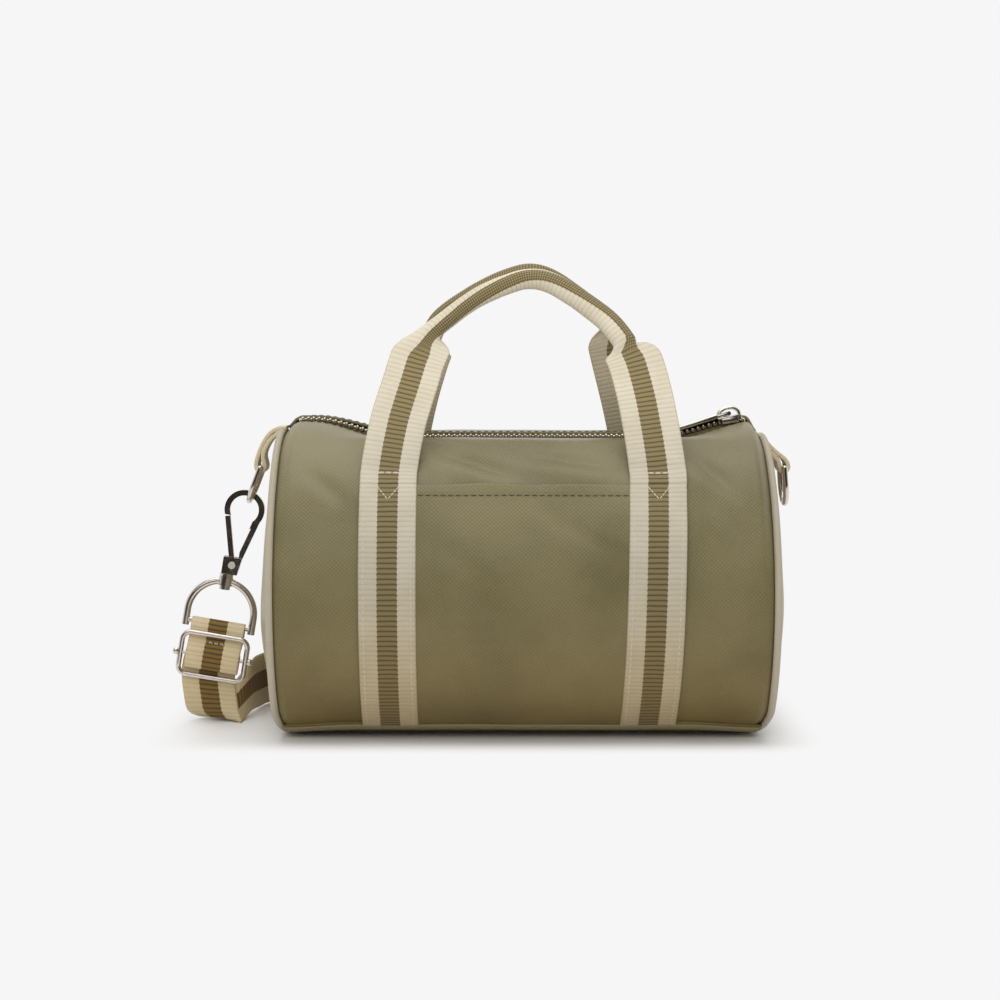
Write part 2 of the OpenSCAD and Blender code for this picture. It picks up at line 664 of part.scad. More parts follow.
// Hook body: stud, collar, forked base, shank and bow
module hook_body() {
    shank_right = bow_x + bow_r;
    base_right = shank_right - base_in_share * bow_r;
    color(nickel) translate([0, 0, loop_top]) difference() {
        union() {
            translate([0, 0, -boss_h / 2 - axial_gap - stud_head_h])
                cylinder(h = stud_head_h, r = stud_head_r, $fn = 32);
            translate([0, 0, -boss_h / 2 - axial_gap - stud_head_h / 2])
                cylinder(h = boss_h + 2 * axial_gap + stud_head_h, r = stud_r, $fn = 32);
            translate([0, 0, boss_h / 2 + axial_gap]) cylinder(h = collar_h, r = collar_r, $fn = 32);
            upright(hook_base_t) polygon([[-stud_head_r + axial_gap, base_z - axial_gap],
                [base_right - bow_w / 2, base_z - axial_gap], [base_right, base_top_z],
                [pivot_x + knuckle_r, base_top_z], [-knuckle_r, base_top_z]]);
            upright(bow_t) difference() {
                union() {
                    translate([bow_x, bow_z]) circle(bow_r, $fn = 96);
                    polygon([[shank_right, bow_z], [base_right, base_top_z - axial_gap],
                        [base_right - bow_w, base_top_z - axial_gap], [shank_right - bow_w, bow_z]]);
                }
                translate([bow_x, bow_z]) circle(bow_r - bow_w, $fn = 96);
                polygon([[-bow_r, gate_tip_z + 2 * soft_gap], [bow_x, gate_tip_z + 2 * soft_gap], [bow_x, bow_z],
                    [shank_right - bow_w - overrun, bow_z], [base_right - bow_w, base_top_z + overrun],
                    [-bow_r, base_top_z + overrun]]);
            }
        }
        translate([-bow_r, -slot_t / 2, pivot_z - knuckle_r - soft_gap])
            cube([bow_r + slot_right, slot_t, base_top_z]);
        translate([pivot_x, hook_base_t, pivot_z]) rotate([90, 0, 0])
            cylinder(h = 2 * hook_base_t, r = gate_pin_r + run_gap, $fn = 32);
    }
}

// An outline in the hook's own plane, with its thickness centred on it
module upright(thick) {
    rotate([90, 0, 0]) translate([0, 0, -thick / 2]) linear_extrude(thick) children();
}

// Gate: a bar on a pierced knuckle
module hook_gate() {
    along = unit([gate_tip_x - pivot_x, gate_tip_z - pivot_z]);
    across = [-along[1], along[0]] * gate_w / 2;
    start = [pivot_x, pivot_z];
    tip = [gate_tip_x, gate_tip_z];
    color(nickel) translate([0, 0, loop_top]) difference() {
        upright(gate_t) {
            polygon([start + across, tip + across, tip - across, start - across]);
            translate(start) circle(knuckle_r, $fn = 48);
        }
        translate([pivot_x, hook_base_t, pivot_z]) rotate([90, 0, 0])
            cylinder(h = 2 * hook_base_t, r = gate_pin_r + run_gap, $fn = 32);
    }
}

// Rivet through the fork and the gate's knuckle
module gate_pin() {
    color(nickel) translate([pivot_x, 0, loop_top + pivot_z]) rotate([90, 0, 0]) {
        translate([0, 0, -hook_base_t / 2 - pin_head_h / 2])
            cylinder(h = hook_base_t + pin_head_h, r = gate_pin_r, $fn = 32);
        for (side = [-1, 1]) translate([0, 0, side * (hook_base_t / 2 + run_gap + pin_head_h / 2)])
            translate([0, 0, -pin_head_h / 2]) cylinder(h = pin_head_h, r = pin_head_r, $fn = 32);
    }
}

// Webbing sewn round the bar of a swivel loop
module end_fold() {
    color(cream) difference() {
        union() {
            translate([-web_w / 2, 0, 0]) rotate([0, 90, 0]) cylinder(h = web_w, r = fold_r, $fn = 48);
            translate([-web_w / 2, -fold_r, -fold_len]) cube([web_w, 2 * fold_r, fold_len]);
        }
        translate([-web_w / 2 - overrun, 0, 0]) rotate([0, 90, 0])
            cylinder(h = web_w + 2 * overrun, r = loop_bar_r + run_gap, $fn = 32);
        translate([-web_w / 2 - overrun, -fold_r + web_t, -fold_len - overrun])
            cube([web_w + 2 * overrun, 2 * (fold_r - web_t), fold_len + overrun - loop_bar_r / 2]);
    }
}

// Adjuster frame: two round rails, round corners and two slotted sides for the loose bar
module adjuster_frame() {
    rail_half = adjuster_w / 2 - frame_corner_r;
    color(nickel) translate([0, adjuster_n, adjuster_v]) {
        for (v = [-1, 1]) {
            translate([-rail_half, 0, v * (adjuster_h / 2 - rail_r)]) rotate([0, 90, 0])
                cylinder(h = 2 * rail_half, r = rail_r, $fn = 24);
            for (u = [-1, 1]) scale([u, 1, v]) translate([rail_half, 0, side_half]) rotate([90, 0, 0])
                rotate_extrude(angle = 90, $fn = 48) translate([frame_corner_r - rail_r, 0])
                    circle(rail_r, $fn = 24);
        }
        for (u = [-1, 1]) translate([u * (adjuster_w / 2 - rail_r), 0, 0]) difference() {
            translate([-rail_r, -side_depth / 2, -side_half]) cube([2 * rail_r, side_depth, 2 * side_half]);
            translate([-side_w, -slide_bar_r - sewn_gap, -slot_half_v])
                cube([2 * side_w, 2 * (slide_bar_r + sewn_gap), 2 * slot_half_v]);
        }
    }
}

// Loose bar with a ball on each end
module adjuster_bar() {
    reach = adjuster_w / 2 + ball_r + sewn_gap;
    color(nickel) translate([0, adjuster_n, adjuster_v]) union() {
        translate([-reach, 0, 0]) rotate([0, 90, 0]) cylinder(h = 2 * reach, r = slide_bar_r, $fn = 32);
        for (u = [-1, 1]) translate([u * reach, 0, 0]) sphere(ball_r, $fn = 32);
    }
}

// Webbing sewn round the adjuster's loose bar
module adjuster_wrap() {
    color(cream) translate([-web_w / 2, adjuster_n, adjuster_v]) rotate([0, 90, 0]) difference() {
        cylinder(h = web_w, r = wrap_r, $fn = 48);
        translate([0, 0, -overrun]) cylinder(h = web_w + 2 * overrun, r = slide_bar_r + run_gap, $fn = 32);
    }
}

// Webbing that comes back from the swivel loop to the adjuster's bar
module strap_return() {
    ends = [[-fold_r + web_t / 2, -fold_len - soft_gap], [adjuster_n, adjuster_v + wrap_r + soft_gap]];
    color(cream) ribbon([for (q = ends) [-web_w / 2, q[0], q[1]]], [for (q = ends) [web_w / 2, q[0], q[1]]],
        [web_t, web_t]);
}

function chain_point(u, n, v) = [chain_x + u * cos(chain_tilt) + v * sin(chain_tilt), n,
    chain_z - u * sin(chain_tilt) + v * cos(chain_tilt)];
function free_point(u, v) = [free_x + v * cos(free_tip), free_y + u, free_z - v * sin(free_tip)];
function foot_rise(i) = i < hang_count ? hang_rise : web_w;
function foot_point(s, i) = foot + [web_w * s[0], web_w * s[1], foot_rise(i) * s[2]];
function foot_edge(shares) = [for (i = [0:len(shares) - 1]) foot_point(shares[i], i)];
function turn(x, y, side) = [for (i = [0:turn_steps]) let (a = 180 * i / turn_steps)
    [x + side * run_step / 2 * sin(a), y + run_step / 2 * (1 - cos(a))]];

// Shoulder strap: down to the floor, round behind the bag in upright runs, and flat at its free end
module shoulder_strap() {
    v0 = -fold_len - sewn_gap;
    near_end = foot + web_w * (left_edge_shares[7] + right_edge_shares[7]) / 2;
    corner = [near_end[0] + web_w / 8, run_y];
    start = [near_end[0], near_end[1]];
    runs = concat(bezier(start, corner, [-run_half - web_w / 4, run_y], bend_steps),
        [for (k = [0:run_count - 2]) let (way = k % 2 == 0 ? 1 : -1)
            each turn(way * run_half, run_y + k * run_step, way)]);
    tail = [for (s = tail_shares) [tail_x, last_run_y, 0] + web_w * s];
    upper = concat([chain_point(-web_w / 2, strap_n, v0)], foot_edge(left_edge_shares),
        [for (i = [1:len(runs) - 1]) [runs[i][0], runs[i][1], strap_z + web_w]],
        [for (i = [0:len(tail) - 1]) tail[i] + web_w * [0, cos(tail_leans[i]), sin(tail_leans[i])]],
        [free_point(web_w / 2, v0)]);
    lower = concat([chain_point(web_w / 2, strap_n, v0)], foot_edge(right_edge_shares),
        [for (i = [1:len(runs) - 1]) [runs[i][0], runs[i][1], strap_z]], tail,
        [free_point(-web_w / 2, v0)]);
    color(cream) ribbon(upper, lower, [for (p = upper) web_t]);
}

front_panel();
back_panel();
base_panel();
base_board();
lining();
inner_pocket();
to_left() end_panel();  // left_end_panel
end_panel();  // right_end_panel
to_left() piping();  // left_piping
piping();  // right_piping
front_pocket();
sewn_webbing(-1);  // front_webbing_left
sewn_webbing(1);  // front_webbing_right
to_back() sewn_webbing(-1);  // back_webbing_left
to_back() sewn_webbing(1);  // back_webbing_right
mouth_lip();  // front_mouth_lip
to_back() mouth_lip();  // back_mouth_lip
to_back() zip_tape(mouth_x0, mouth_x1);  // zip_tape_front
zip_tape(mouth_x0, mouth_x1);  // zip_tape_back
to_back() zip_teeth(mouth_x0, mouth_x1, 1 / 2);  // zip_teeth_front
zip_teeth(mouth_x0, mouth_x1, 0);  // zip_teeth_back
zip_end(-zip_end_x, mouth_x0 - soft_gap);  // zip_end_left
zip_end(mouth_x1 + soft_gap, zip_end_x);  // zip_end_right
zip_stops();
zip_slider();
zip_puller();
handle(front_handle_shares);  // front_handle
to_back() handle(back_handle_shares);  // back_handle
to_left() tab();  // left_tab
tab();  // right_tab
to_left() ring(left_ring_tilt);  // left_ring
ring(right_ring_tilt);  // right_ring
on_clip() swivel_loop();  // left_swivel_loop
on_clip() hook_body();  // left_hook_body
on_clip() hook_gate();  // left_hook_gate
on_clip() gate_pin();  // left_gate_pin
on_free() swivel_loop();  // free_swivel_loop
on_free() hook_body();  // free_hook_body
on_free() hook_gate();  // free_hook_gate
on_free() gate_pin();  // free_gate_pin
on_clip() adjuster_frame();
on_clip() adjuster_bar();
on_clip() adjuster_wrap();
on_clip() strap_return();
on_clip() end_fold();  // clip_end_fold
on_free() end_fold();  // free_end_fold
shoulder_strap();
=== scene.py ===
import math

import bmesh
import bpy
import numpy as np
from mathutils import Matrix, Vector, noise


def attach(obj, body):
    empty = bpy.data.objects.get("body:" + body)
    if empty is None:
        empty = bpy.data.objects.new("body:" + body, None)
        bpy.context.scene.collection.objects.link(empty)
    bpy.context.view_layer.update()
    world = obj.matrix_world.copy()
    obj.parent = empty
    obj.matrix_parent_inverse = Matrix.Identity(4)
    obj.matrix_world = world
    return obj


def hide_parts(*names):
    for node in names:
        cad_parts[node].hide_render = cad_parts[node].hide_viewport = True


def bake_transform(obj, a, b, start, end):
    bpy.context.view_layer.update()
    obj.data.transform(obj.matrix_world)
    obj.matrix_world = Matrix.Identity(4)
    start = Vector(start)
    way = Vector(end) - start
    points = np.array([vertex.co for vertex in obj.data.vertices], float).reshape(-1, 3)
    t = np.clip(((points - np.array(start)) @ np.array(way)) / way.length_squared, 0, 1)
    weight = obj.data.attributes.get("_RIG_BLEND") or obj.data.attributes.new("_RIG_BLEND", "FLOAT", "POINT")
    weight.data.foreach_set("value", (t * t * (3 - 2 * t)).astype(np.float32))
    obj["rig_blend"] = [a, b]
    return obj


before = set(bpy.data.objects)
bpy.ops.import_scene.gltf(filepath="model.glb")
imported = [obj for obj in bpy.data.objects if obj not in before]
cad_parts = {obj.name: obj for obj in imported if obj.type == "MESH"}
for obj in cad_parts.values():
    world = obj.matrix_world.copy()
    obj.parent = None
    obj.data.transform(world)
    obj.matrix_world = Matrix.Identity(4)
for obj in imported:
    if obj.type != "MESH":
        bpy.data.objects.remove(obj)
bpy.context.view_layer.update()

# Sizes in millimetres, as in the part's source
MM = 0.001
BARREL_LEN = 265
BARREL_R = 89
BASE_W = 72
BASE_SEAM_Z = 4.2
CANVAS_T = 1.6
PIPE_R = 2
SEWN_GAP = 0.1
LIP_W = 40
LIP_EDGE = 4.6
ROW_COUNT = 20
BINDING_Z = 9.4
PANEL_LOW_Z = 7
MOUTH = (-100, 70)
MOUTH_BEND = 34
TOOTH_PITCH = 3
SLIDER_X = 115
WEB_W = 30
WEB_T = 1.4
WEB_LIFT = 0.5
LEG_X = 71
HANDLE_LEAN = math.radians(27.7)
CHAIN_OUT = 37
CHAIN_Z = 55.6
CHAIN_TILT = math.radians(9.5)
FOLD_LEN = 8
FOLD_BEND_R = 2.35
ADJUSTER_V = -18
ADJUSTER_N = -4.5
FOOT_OUT = 26
RUN_HALF = 108
RUN_STEP = 5
RUN_COUNT = 5

# Places worked out from them; angles are in degrees from the top of the barrel
BARREL_Z = math.sqrt(BARREL_R ** 2 - (BASE_W / 2) ** 2)
BARREL_TOP = BARREL_Z + BARREL_R
PANEL_HALF = BARREL_LEN / 2 - PIPE_R - SEWN_GAP
CHAIN = (-(BARREL_LEN / 2 + CHAIN_OUT), CHAIN_Z)


def angle_at(z):
    """Angle at which the barrel's surface is that high."""
    return 180 - math.degrees(math.acos((BARREL_Z - z) / BARREL_R))


LIP_A = math.degrees(math.asin(LIP_W / BARREL_R))
EDGE_A = math.degrees(math.asin(LIP_EDGE / BARREL_R))
BASE_A = angle_at(BASE_SEAM_Z + SEWN_GAP)
BINDING_A = angle_at(BINDING_Z)
PANEL_LOW_A = angle_at(PANEL_LOW_Z)
ROW_STEP = (BASE_A - LIP_A) / ROW_COUNT
TACK_A = LIP_A + 3 * ROW_STEP


def mix(a, b, share):
    return a + (b - a) * share


def smooth(t):
    t = min(1.0, max(0.0, t))
    return t * t * (3 - 2 * t)


def bell(t):
    return math.exp(-t * t)


# Camera at the photograph's angle, in metres and degrees

CAMERA_PLACE = (-0.0123, -1.242, 0.2255)
CAMERA_PITCH = 4.62
CAMERA_LENS = 80.6
CAMERA_SENSOR = 36


def add_camera():
    data = bpy.data.cameras.new("photo_camera")
    data.lens = CAMERA_LENS
    data.sensor_width = CAMERA_SENSOR
    data.clip_start = 0.05
    camera = bpy.data.objects.new("photo_camera", data)
    camera.location = CAMERA_PLACE
    camera.rotation_euler = (math.radians(90 - CAMERA_PITCH), 0, 0)
    bpy.context.scene.collection.objects.link(camera)
    bpy.context.scene.camera = camera


# Finishes

def paint(*steps):
    """A colour of three steps from 0 to 255, as the shader wants it."""
    return tuple(((step / 255 + 0.055) / 1.055) ** 2.4 for step in steps) + (1.0,)


class Finish:
    """One surface finish and the nodes that make it."""

    def __init__(self, name, roughness, metallic=0.0, specular=0.5):
        self.material = bpy.data.materials.new(name)
        self.material.use_nodes = True
        self.nodes = self.material.node_tree.nodes
        self.links = self.material.node_tree.links
        self.shader = self.nodes["Principled BSDF"]
        self.shader.inputs["Roughness"].default_value = roughness
        self.shader.inputs["Metallic"].default_value = metallic
        self.shader.inputs["Specular IOR Level"].default_value = specular

    def plug(self, value, socket):
        if isinstance(value, bpy.types.NodeSocket):
            self.links.new(value, socket)
        else:
            socket.default_value = value

    def calc(self, operation, *values):
        made = self.nodes.new("ShaderNodeMath")
        made.operation = operation
        for value, socket in zip(values, made.inputs):
            self.plug(value, socket)
        return made.outputs[0]

    def step(self, value, low, high):
        made = self.nodes.new("ShaderNodeMapRange")
        made.interpolation_type = "SMOOTHSTEP"
        self.plug(value, made.inputs["Value"])
        made.inputs["From Min"].default_value = low
        made.inputs["From Max"].default_value = high
        return made.outputs["Result"]

    def blend(self, share, first, second):
        made = self.nodes.new("ShaderNodeMix")
        made.data_type = "RGBA"
        self.plug(share, made.inputs[0])
        self.plug(first, made.inputs[6])
        self.plug(second, made.inputs[7])
        return made.outputs[2]

    def cloth_place(self):
        """The place on the cloth, across and along, in metres."""
        made = self.nodes.new("ShaderNodeUVMap")
        made.uv_map = "cloth"
        parts = self.nodes.new("ShaderNodeSeparateXYZ")
        self.links.new(made.outputs[0], parts.inputs[0])
        return parts.outputs[0], parts.outputs[1]

    def mark(self, name):
        made = self.nodes.new("ShaderNodeAttribute")
        made.attribute_name = name
        return made.outputs["Fac"]

    def cloud(self, size, detail=2.0, rough=0.5):
        """Soft noise on the piece, one cloud about size metres."""
        place = self.nodes.new("ShaderNodeTexCoord")
        made = self.nodes.new("ShaderNodeTexNoise")
        made.inputs["Scale"].default_value = 1 / size
        made.inputs["Detail"].default_value = detail
        made.inputs["Roughness"].default_value = rough
        self.links.new(place.outputs["Object"], made.inputs["Vector"])
        return made.outputs["Fac"]

    def wave(self, value, pitch):
        """A sine from -1 to 1 that repeats every pitch metres."""
        return self.calc("SINE", self.calc("MULTIPLY", value, 2 * math.pi / pitch))

    def ridge(self, value, pitch):
        """Rounded ridges with sharp valleys, from 0 to 1, every pitch metres."""
        return self.calc("ABSOLUTE", self.calc("SINE", self.calc("MULTIPLY", value, math.pi / pitch)))

    def add(self, *values):
        total = values[0]
        for value in values[1:]:
            total = self.calc("ADD", total, value)
        return total

    def times(self, *values):
        total = values[0]
        for value in values[1:]:
            total = self.calc("MULTIPLY", total, value)
        return total

    def relief(self, height, depth):
        """Bump of that height, where 1 is depth metres."""
        made = self.nodes.new("ShaderNodeBump")
        made.inputs["Strength"].default_value = 1
        made.inputs["Distance"].default_value = depth
        self.plug(height, made.inputs["Height"])
        self.links.new(made.outputs[0], self.shader.inputs["Normal"])

    def painted_shade_by_height(self, value, stops):
        """The colour under painted shade that changes with height: darker low down, where less light falls,
        and lighter up high. Each stop is a height in metres and the multiplier of the colour there.
        """
        place = self.nodes.new("ShaderNodeTexCoord")
        parts = self.nodes.new("ShaderNodeSeparateXYZ")
        self.links.new(place.outputs["Object"], parts.inputs[0])
        ramp = self.nodes.new("ShaderNodeValToRGB")
        self.links.new(parts.outputs[2], ramp.inputs[0])
        marks = ramp.color_ramp.elements
        while len(marks) < len(stops):
            marks.new(1)
        for mark, (height, tint) in zip(marks, stops):
            mark.position = height
            mark.color = tint + (1,)
        tinted = self.nodes.new("ShaderNodeMix")
        tinted.data_type = "RGBA"
        tinted.blend_type = "MULTIPLY"
        tinted.inputs[0].default_value = 1
        self.plug(value, tinted.inputs[6])
        self.links.new(ramp.outputs[0], tinted.inputs[7])
        return tinted.outputs[2]

    def colour(self, value):
        self.plug(value, self.shader.inputs["Base Color"])

    def roughness(self, value):
        self.plug(value, self.shader.inputs["Roughness"])


def coated_canvas(name, light, dark, specular, stops):
    """Canvas with a fine diamond weave under a satin coat."""
    weave_pitch, patch_size, grain_size, depth = 0.0022, 0.06, 0.0012, 0.00012
    made = Finish(name, 0.5, specular=specular)
    x, y = made.cloth_place()
    lattice = made.times(made.wave(x, weave_pitch), made.wave(y, weave_pitch))
    weave = made.calc("MULTIPLY_ADD", lattice, 0.5, 0.5)
    patches = made.step(made.cloud(patch_size, 3), 0.3, 0.7)
    grain = made.cloud(grain_size, 2)
    share = made.calc("MULTIPLY_ADD", weave, 0.36, made.calc("MULTIPLY_ADD", patches, 0.38, 0.03))
    # Painted shade: the colour is darkened towards the floor by the height stops, standing in for the fall of
    # the light
    made.colour(made.painted_shade_by_height(made.blend(made.calc("MULTIPLY_ADD", grain, 0.35, share), dark, light), stops))
    made.relief(made.add(made.times(weave, 0.75), made.times(grain, 0.35)), depth)
    made.roughness(made.calc("MULTIPLY_ADD", patches, 0.08, 0.34))
    return made.material


def ribbed_webbing(name, cream, cream_low, olive, olive_low, stops):
    """Webbing in thirds, cream, olive and cream, with ribs across and fine threads along.

    Its mark "rolled" is 1 where it is rolled into the grip: there the stripe is narrower, as a braid.
    """
    rib_pitch, thread_pitch, edge_pitch, stripe_half, edge_half = 0.0027, 0.00052, 0.0013, 0.0053, 0.0146
    soft_edge, ragged_by, rib_shift, fuzz_size = 0.0002, 0.00014, 0.0004, 0.0006
    made = Finish(name, 0.72, specular=0.3)
    x, y = made.cloth_place()
    rolled = made.mark("rolled")
    side = made.calc("ABSOLUTE", x)
    narrow = made.times(side, made.calc("MULTIPLY_ADD", rolled, 0.55, 1.0))
    ragged = made.calc("MULTIPLY_ADD", made.wave(y, rib_pitch), ragged_by, narrow)
    stripe = made.calc("SUBTRACT", 1.0, made.step(ragged, stripe_half - soft_edge, stripe_half + soft_edge))
    rib = made.ridge(made.calc("ADD", y, made.times(made.cloud(0.004, 1), rib_shift)), rib_pitch)
    # The grooves between the ribs take the darker colour: partly the weave's own darker lines, partly painted
    # shade in the grooves
    groove_lines_and_shade = made.calc("SUBTRACT", 1.0, made.step(rib, 0.12, 0.78))
    thread = made.calc("MULTIPLY_ADD", made.wave(x, thread_pitch), 0.5, 0.5)
    crossing = made.times(made.wave(made.calc("ADD", x, y), rib_pitch),
                          made.wave(made.calc("SUBTRACT", x, y), rib_pitch))
    braid = made.calc("MULTIPLY_ADD", crossing, 0.5, 0.5)
    fuzz = made.cloud(fuzz_size, 2)
    wide = made.step(made.cloud(0.02, 2), 0.3, 0.7)
    edge = made.step(side, edge_half - 0.0003, edge_half + 0.0003)
    cream_share = made.add(made.times(groove_lines_and_shade, 0.2), made.times(thread, 0.14), made.times(wide, 0.16),
                           made.times(edge, 0.45))
    cream_cloth = made.blend(cream_share, cream, cream_low)
    olive_ribs = made.calc("MULTIPLY_ADD", groove_lines_and_shade, 0.7, made.times(thread, 0.4))
    olive_braid = made.times(made.calc("SUBTRACT", 1.0, made.step(braid, 0.3, 0.85)), 0.8)
    to_braid = made.calc("SUBTRACT", olive_braid, olive_ribs)
    olive_share = made.calc("MULTIPLY_ADD", rolled, to_braid, olive_ribs)
    specks = made.times(rolled, made.step(braid, 0.74, 0.96), 0.75)
    olive_cloth = made.blend(specks, made.blend(olive_share, olive, olive_low), cream_low)
    both = made.blend(stripe, cream_cloth, olive_cloth)
    loose = made.times(fuzz, made.calc("MULTIPLY_ADD", stripe, -0.14, 0.2))
    # Painted shade and painted light: by the height stops the colour is darkened lower down and kept light
    # high up on the handles
    made.colour(made.painted_shade_by_height(made.blend(loose, both, cream_low), stops))
    depth = made.add(made.times(rib, 0.6), made.times(thread, 0.12), made.times(fuzz, 0.15),
                     made.times(stripe, rolled, braid, 0.5), made.times(edge, made.wave(y, edge_pitch), 0.25))
    made.relief(depth, 0.00032)
    made.shader.inputs["Sheen Weight"].default_value = 0.1
    return made.material


def cord_piping(name, light, dark):
    """Cloth cord with fine ribs round it."""
    rib_pitch, fuzz_size, depth = 0.0013, 0.0008, 0.00018
    made = Finish(name, 0.6, specular=0.35)
    x, y = made.cloth_place()
    rib = made.ridge(made.calc("MULTIPLY_ADD", x, 0.5, y), rib_pitch)
    fuzz = made.cloud(fuzz_size, 2)
    made.colour(made.blend(made.calc("MULTIPLY_ADD", fuzz, 0.3, made.times(rib, 0.6)), dark, light))
    made.relief(rib, depth)
    return made.material


def smooth_leather(name, face, shade, edge_paint, half):
    """Smooth leather with a fine grain and painted edges."""
    pore_scale, wear_size, soft_edge, depth = 1900, 0.006, 0.0002, 0.00006
    made = Finish(name, 0.46, specular=0.4)
    across = made.cloth_place()[0]
    pores = made.nodes.new("ShaderNodeTexVoronoi")
    place = made.nodes.new("ShaderNodeTexCoord")
    pores.inputs["Scale"].default_value = pore_scale
    made.links.new(place.outputs["Object"], pores.inputs["Vector"])
    grain = pores.outputs["Distance"]
    wear = made.step(made.cloud(wear_size, 3), 0.35, 0.7)
    painted = made.step(made.calc("ABSOLUTE", across), half - soft_edge, half + soft_edge)
    body = made.blend(made.calc("MULTIPLY_ADD", grain, 0.25, made.times(wear, 0.35)), face, shade)
    made.colour(made.blend(painted, body, edge_paint))
    made.relief(made.add(grain, made.times(wear, 0.6)), depth)
    return made.material


def polished_nickel(name, colour, low, roughness):
    """Plated metal, polished, with a few soft rubs."""
    made = Finish(name, roughness, metallic=1.0)
    rubs = made.step(made.cloud(0.004, 4, 0.6), 0.35, 0.75)
    made.colour(made.blend(made.times(rubs, 0.5), colour, low))
    made.roughness(made.calc("MULTIPLY_ADD", rubs, 0.1, roughness))
    made.relief(made.cloud(0.0018, 3), 0.000012)
    return made.material


def plain_weave(name, light, dark, pitch):
    """Thin cloth in plain weave."""
    made = Finish(name, 0.8, specular=0.2)
    x, y = made.cloth_place()
    weave = made.calc("MULTIPLY_ADD", made.times(made.wave(x, pitch), made.wave(y, pitch)), 0.5, 0.5)
    patches = made.step(made.cloud(0.03, 3), 0.3, 0.7)
    made.colour(made.blend(made.calc("MULTIPLY_ADD", patches, 0.4, made.times(weave, 0.5)), dark, light))
    made.relief(weave, 0.0001)
    return made.material


def grey_board(name, dark, light):
    """Pressed board of short fibres."""
    made = Finish(name, 0.85, specular=0.2)
    fibres = made.cloud(0.0015, 5, 0.7)
    made.colour(made.blend(fibres, dark, light))
    made.relief(fibres, 0.0001)
    return made.material


def sewing_thread(name, colour, shade):
    """Twisted thread with a slight shine."""
    made = Finish(name, 0.55, specular=0.35)
    twist = made.cloud(0.0005, 1)
    made.colour(made.blend(twist, shade, colour))
    made.relief(twist, 0.00008)
    return made.material


# Painted shade by height in metres, standing in for the fall of the light: cloth near the floor is painted
# darker and warmer, and the handles' webbing is painted lighter high up. EVEN_TINT paints none.
EVEN_TINT = [(0.0, (1, 1, 1)), (1.0, (1, 1, 1))]
CANVAS_PAINTED_SHADE = [(0.02, (0.82, 0.70, 0.46)), (0.085, (0.83, 0.82, 0.72)), (0.155, (0.97, 0.97, 0.97))]
WEBBING_PAINTED_SHADE = [(0.025, (0.65, 0.57, 0.44)), (0.09, (0.68, 0.68, 0.68)), (0.15, (0.83, 0.83, 0.85)),
                (0.19, (1, 1, 1))]
STRAP_PAINTED_SHADE = [(0.034, (0.82, 0.80, 0.73)), (0.062, (1, 1, 1))]

OLIVE = coated_canvas("olive_coated_canvas", paint(145, 136, 101), paint(100, 90, 57), 0.35, CANVAS_PAINTED_SHADE)
# Painted shade: the end panels' cream is darker than the light cream of the cloth itself, standing in for the
# shade on the ends
SHADED_CREAM = coated_canvas("cream_canvas_painted_shade", paint(172, 162, 138), paint(136, 125, 100), 0.3, EVEN_TINT)
BINDING = cord_piping("olive_binding", paint(164, 153, 116), paint(112, 102, 68))
PIPING = cord_piping("cream_piping_cord", paint(208, 200, 180), paint(150, 139, 114))
WEBBING = ribbed_webbing("handle_webbing", paint(240, 231, 209), paint(182, 168, 138),
                         paint(164, 148, 102), paint(86, 71, 42), WEBBING_PAINTED_SHADE)
# Painted shade: the strap's colour is darkened near the floor by its height stops
STRAP = ribbed_webbing("strap_webbing", paint(240, 224, 190), paint(178, 156, 116),
                       paint(147, 118, 58), paint(72, 46, 20), STRAP_PAINTED_SHADE)
NICKEL = polished_nickel("polished_nickel", (0.72, 0.66, 0.60, 1), (0.54, 0.48, 0.42, 1), 0.12)
ZIP_METAL = polished_nickel("zip_nickel", (0.80, 0.76, 0.70, 1), (0.60, 0.55, 0.48, 1), 0.16)
SCREW_METAL = polished_nickel("screw_metal", (0.92, 0.90, 0.86, 1), (0.74, 0.70, 0.64, 1), 0.5)
TEETH_METAL = polished_nickel("zip_teeth_metal", (0.60, 0.55, 0.44, 1), (0.42, 0.38, 0.28, 1), 0.34)
LEATHER = smooth_leather("cream_leather", paint(232, 223, 200), paint(206, 192, 164), paint(216, 200, 166),
                         0.0086)
TAPE = plain_weave("zip_tape_cloth", paint(112, 104, 74), paint(78, 70, 46), 0.0011)
LINING = plain_weave("grey_lining", paint(132, 124, 106), paint(104, 96, 78), 0.0014)
BOARD = grey_board("fibre_board", paint(120, 112, 96), paint(150, 142, 124))
CREAM_THREAD = sewing_thread("cream_thread", paint(236, 228, 210), paint(188, 176, 150))
OLIVE_THREAD = sewing_thread("olive_thread", paint(92, 82, 52), paint(54, 46, 26))


# Making pieces

def cloth_grid(across, along, place, flat, seam=False, ring=False):
    """A grid of cloth in millimetres; place(u, v) puts a point and flat(u, v) gives its spot on the cloth."""
    bm = bmesh.new()
    layer = bm.loops.layers.uv.new("cloth")
    bmesh.ops.create_grid(bm, x_segments=across, y_segments=along, size=0.5)
    for face in bm.faces:
        for loop in face.loops:
            u, v = flat(loop.vert.co.x + 0.5, loop.vert.co.y + 0.5)
            loop[layer].uv = (u * MM, v * MM)
    for vert in bm.verts:
        vert.co = place(vert.co.x + 0.5, vert.co.y + 0.5)
    if seam or ring:
        bmesh.ops.remove_doubles(bm, verts=bm.verts, dist=0.01)
    return bm


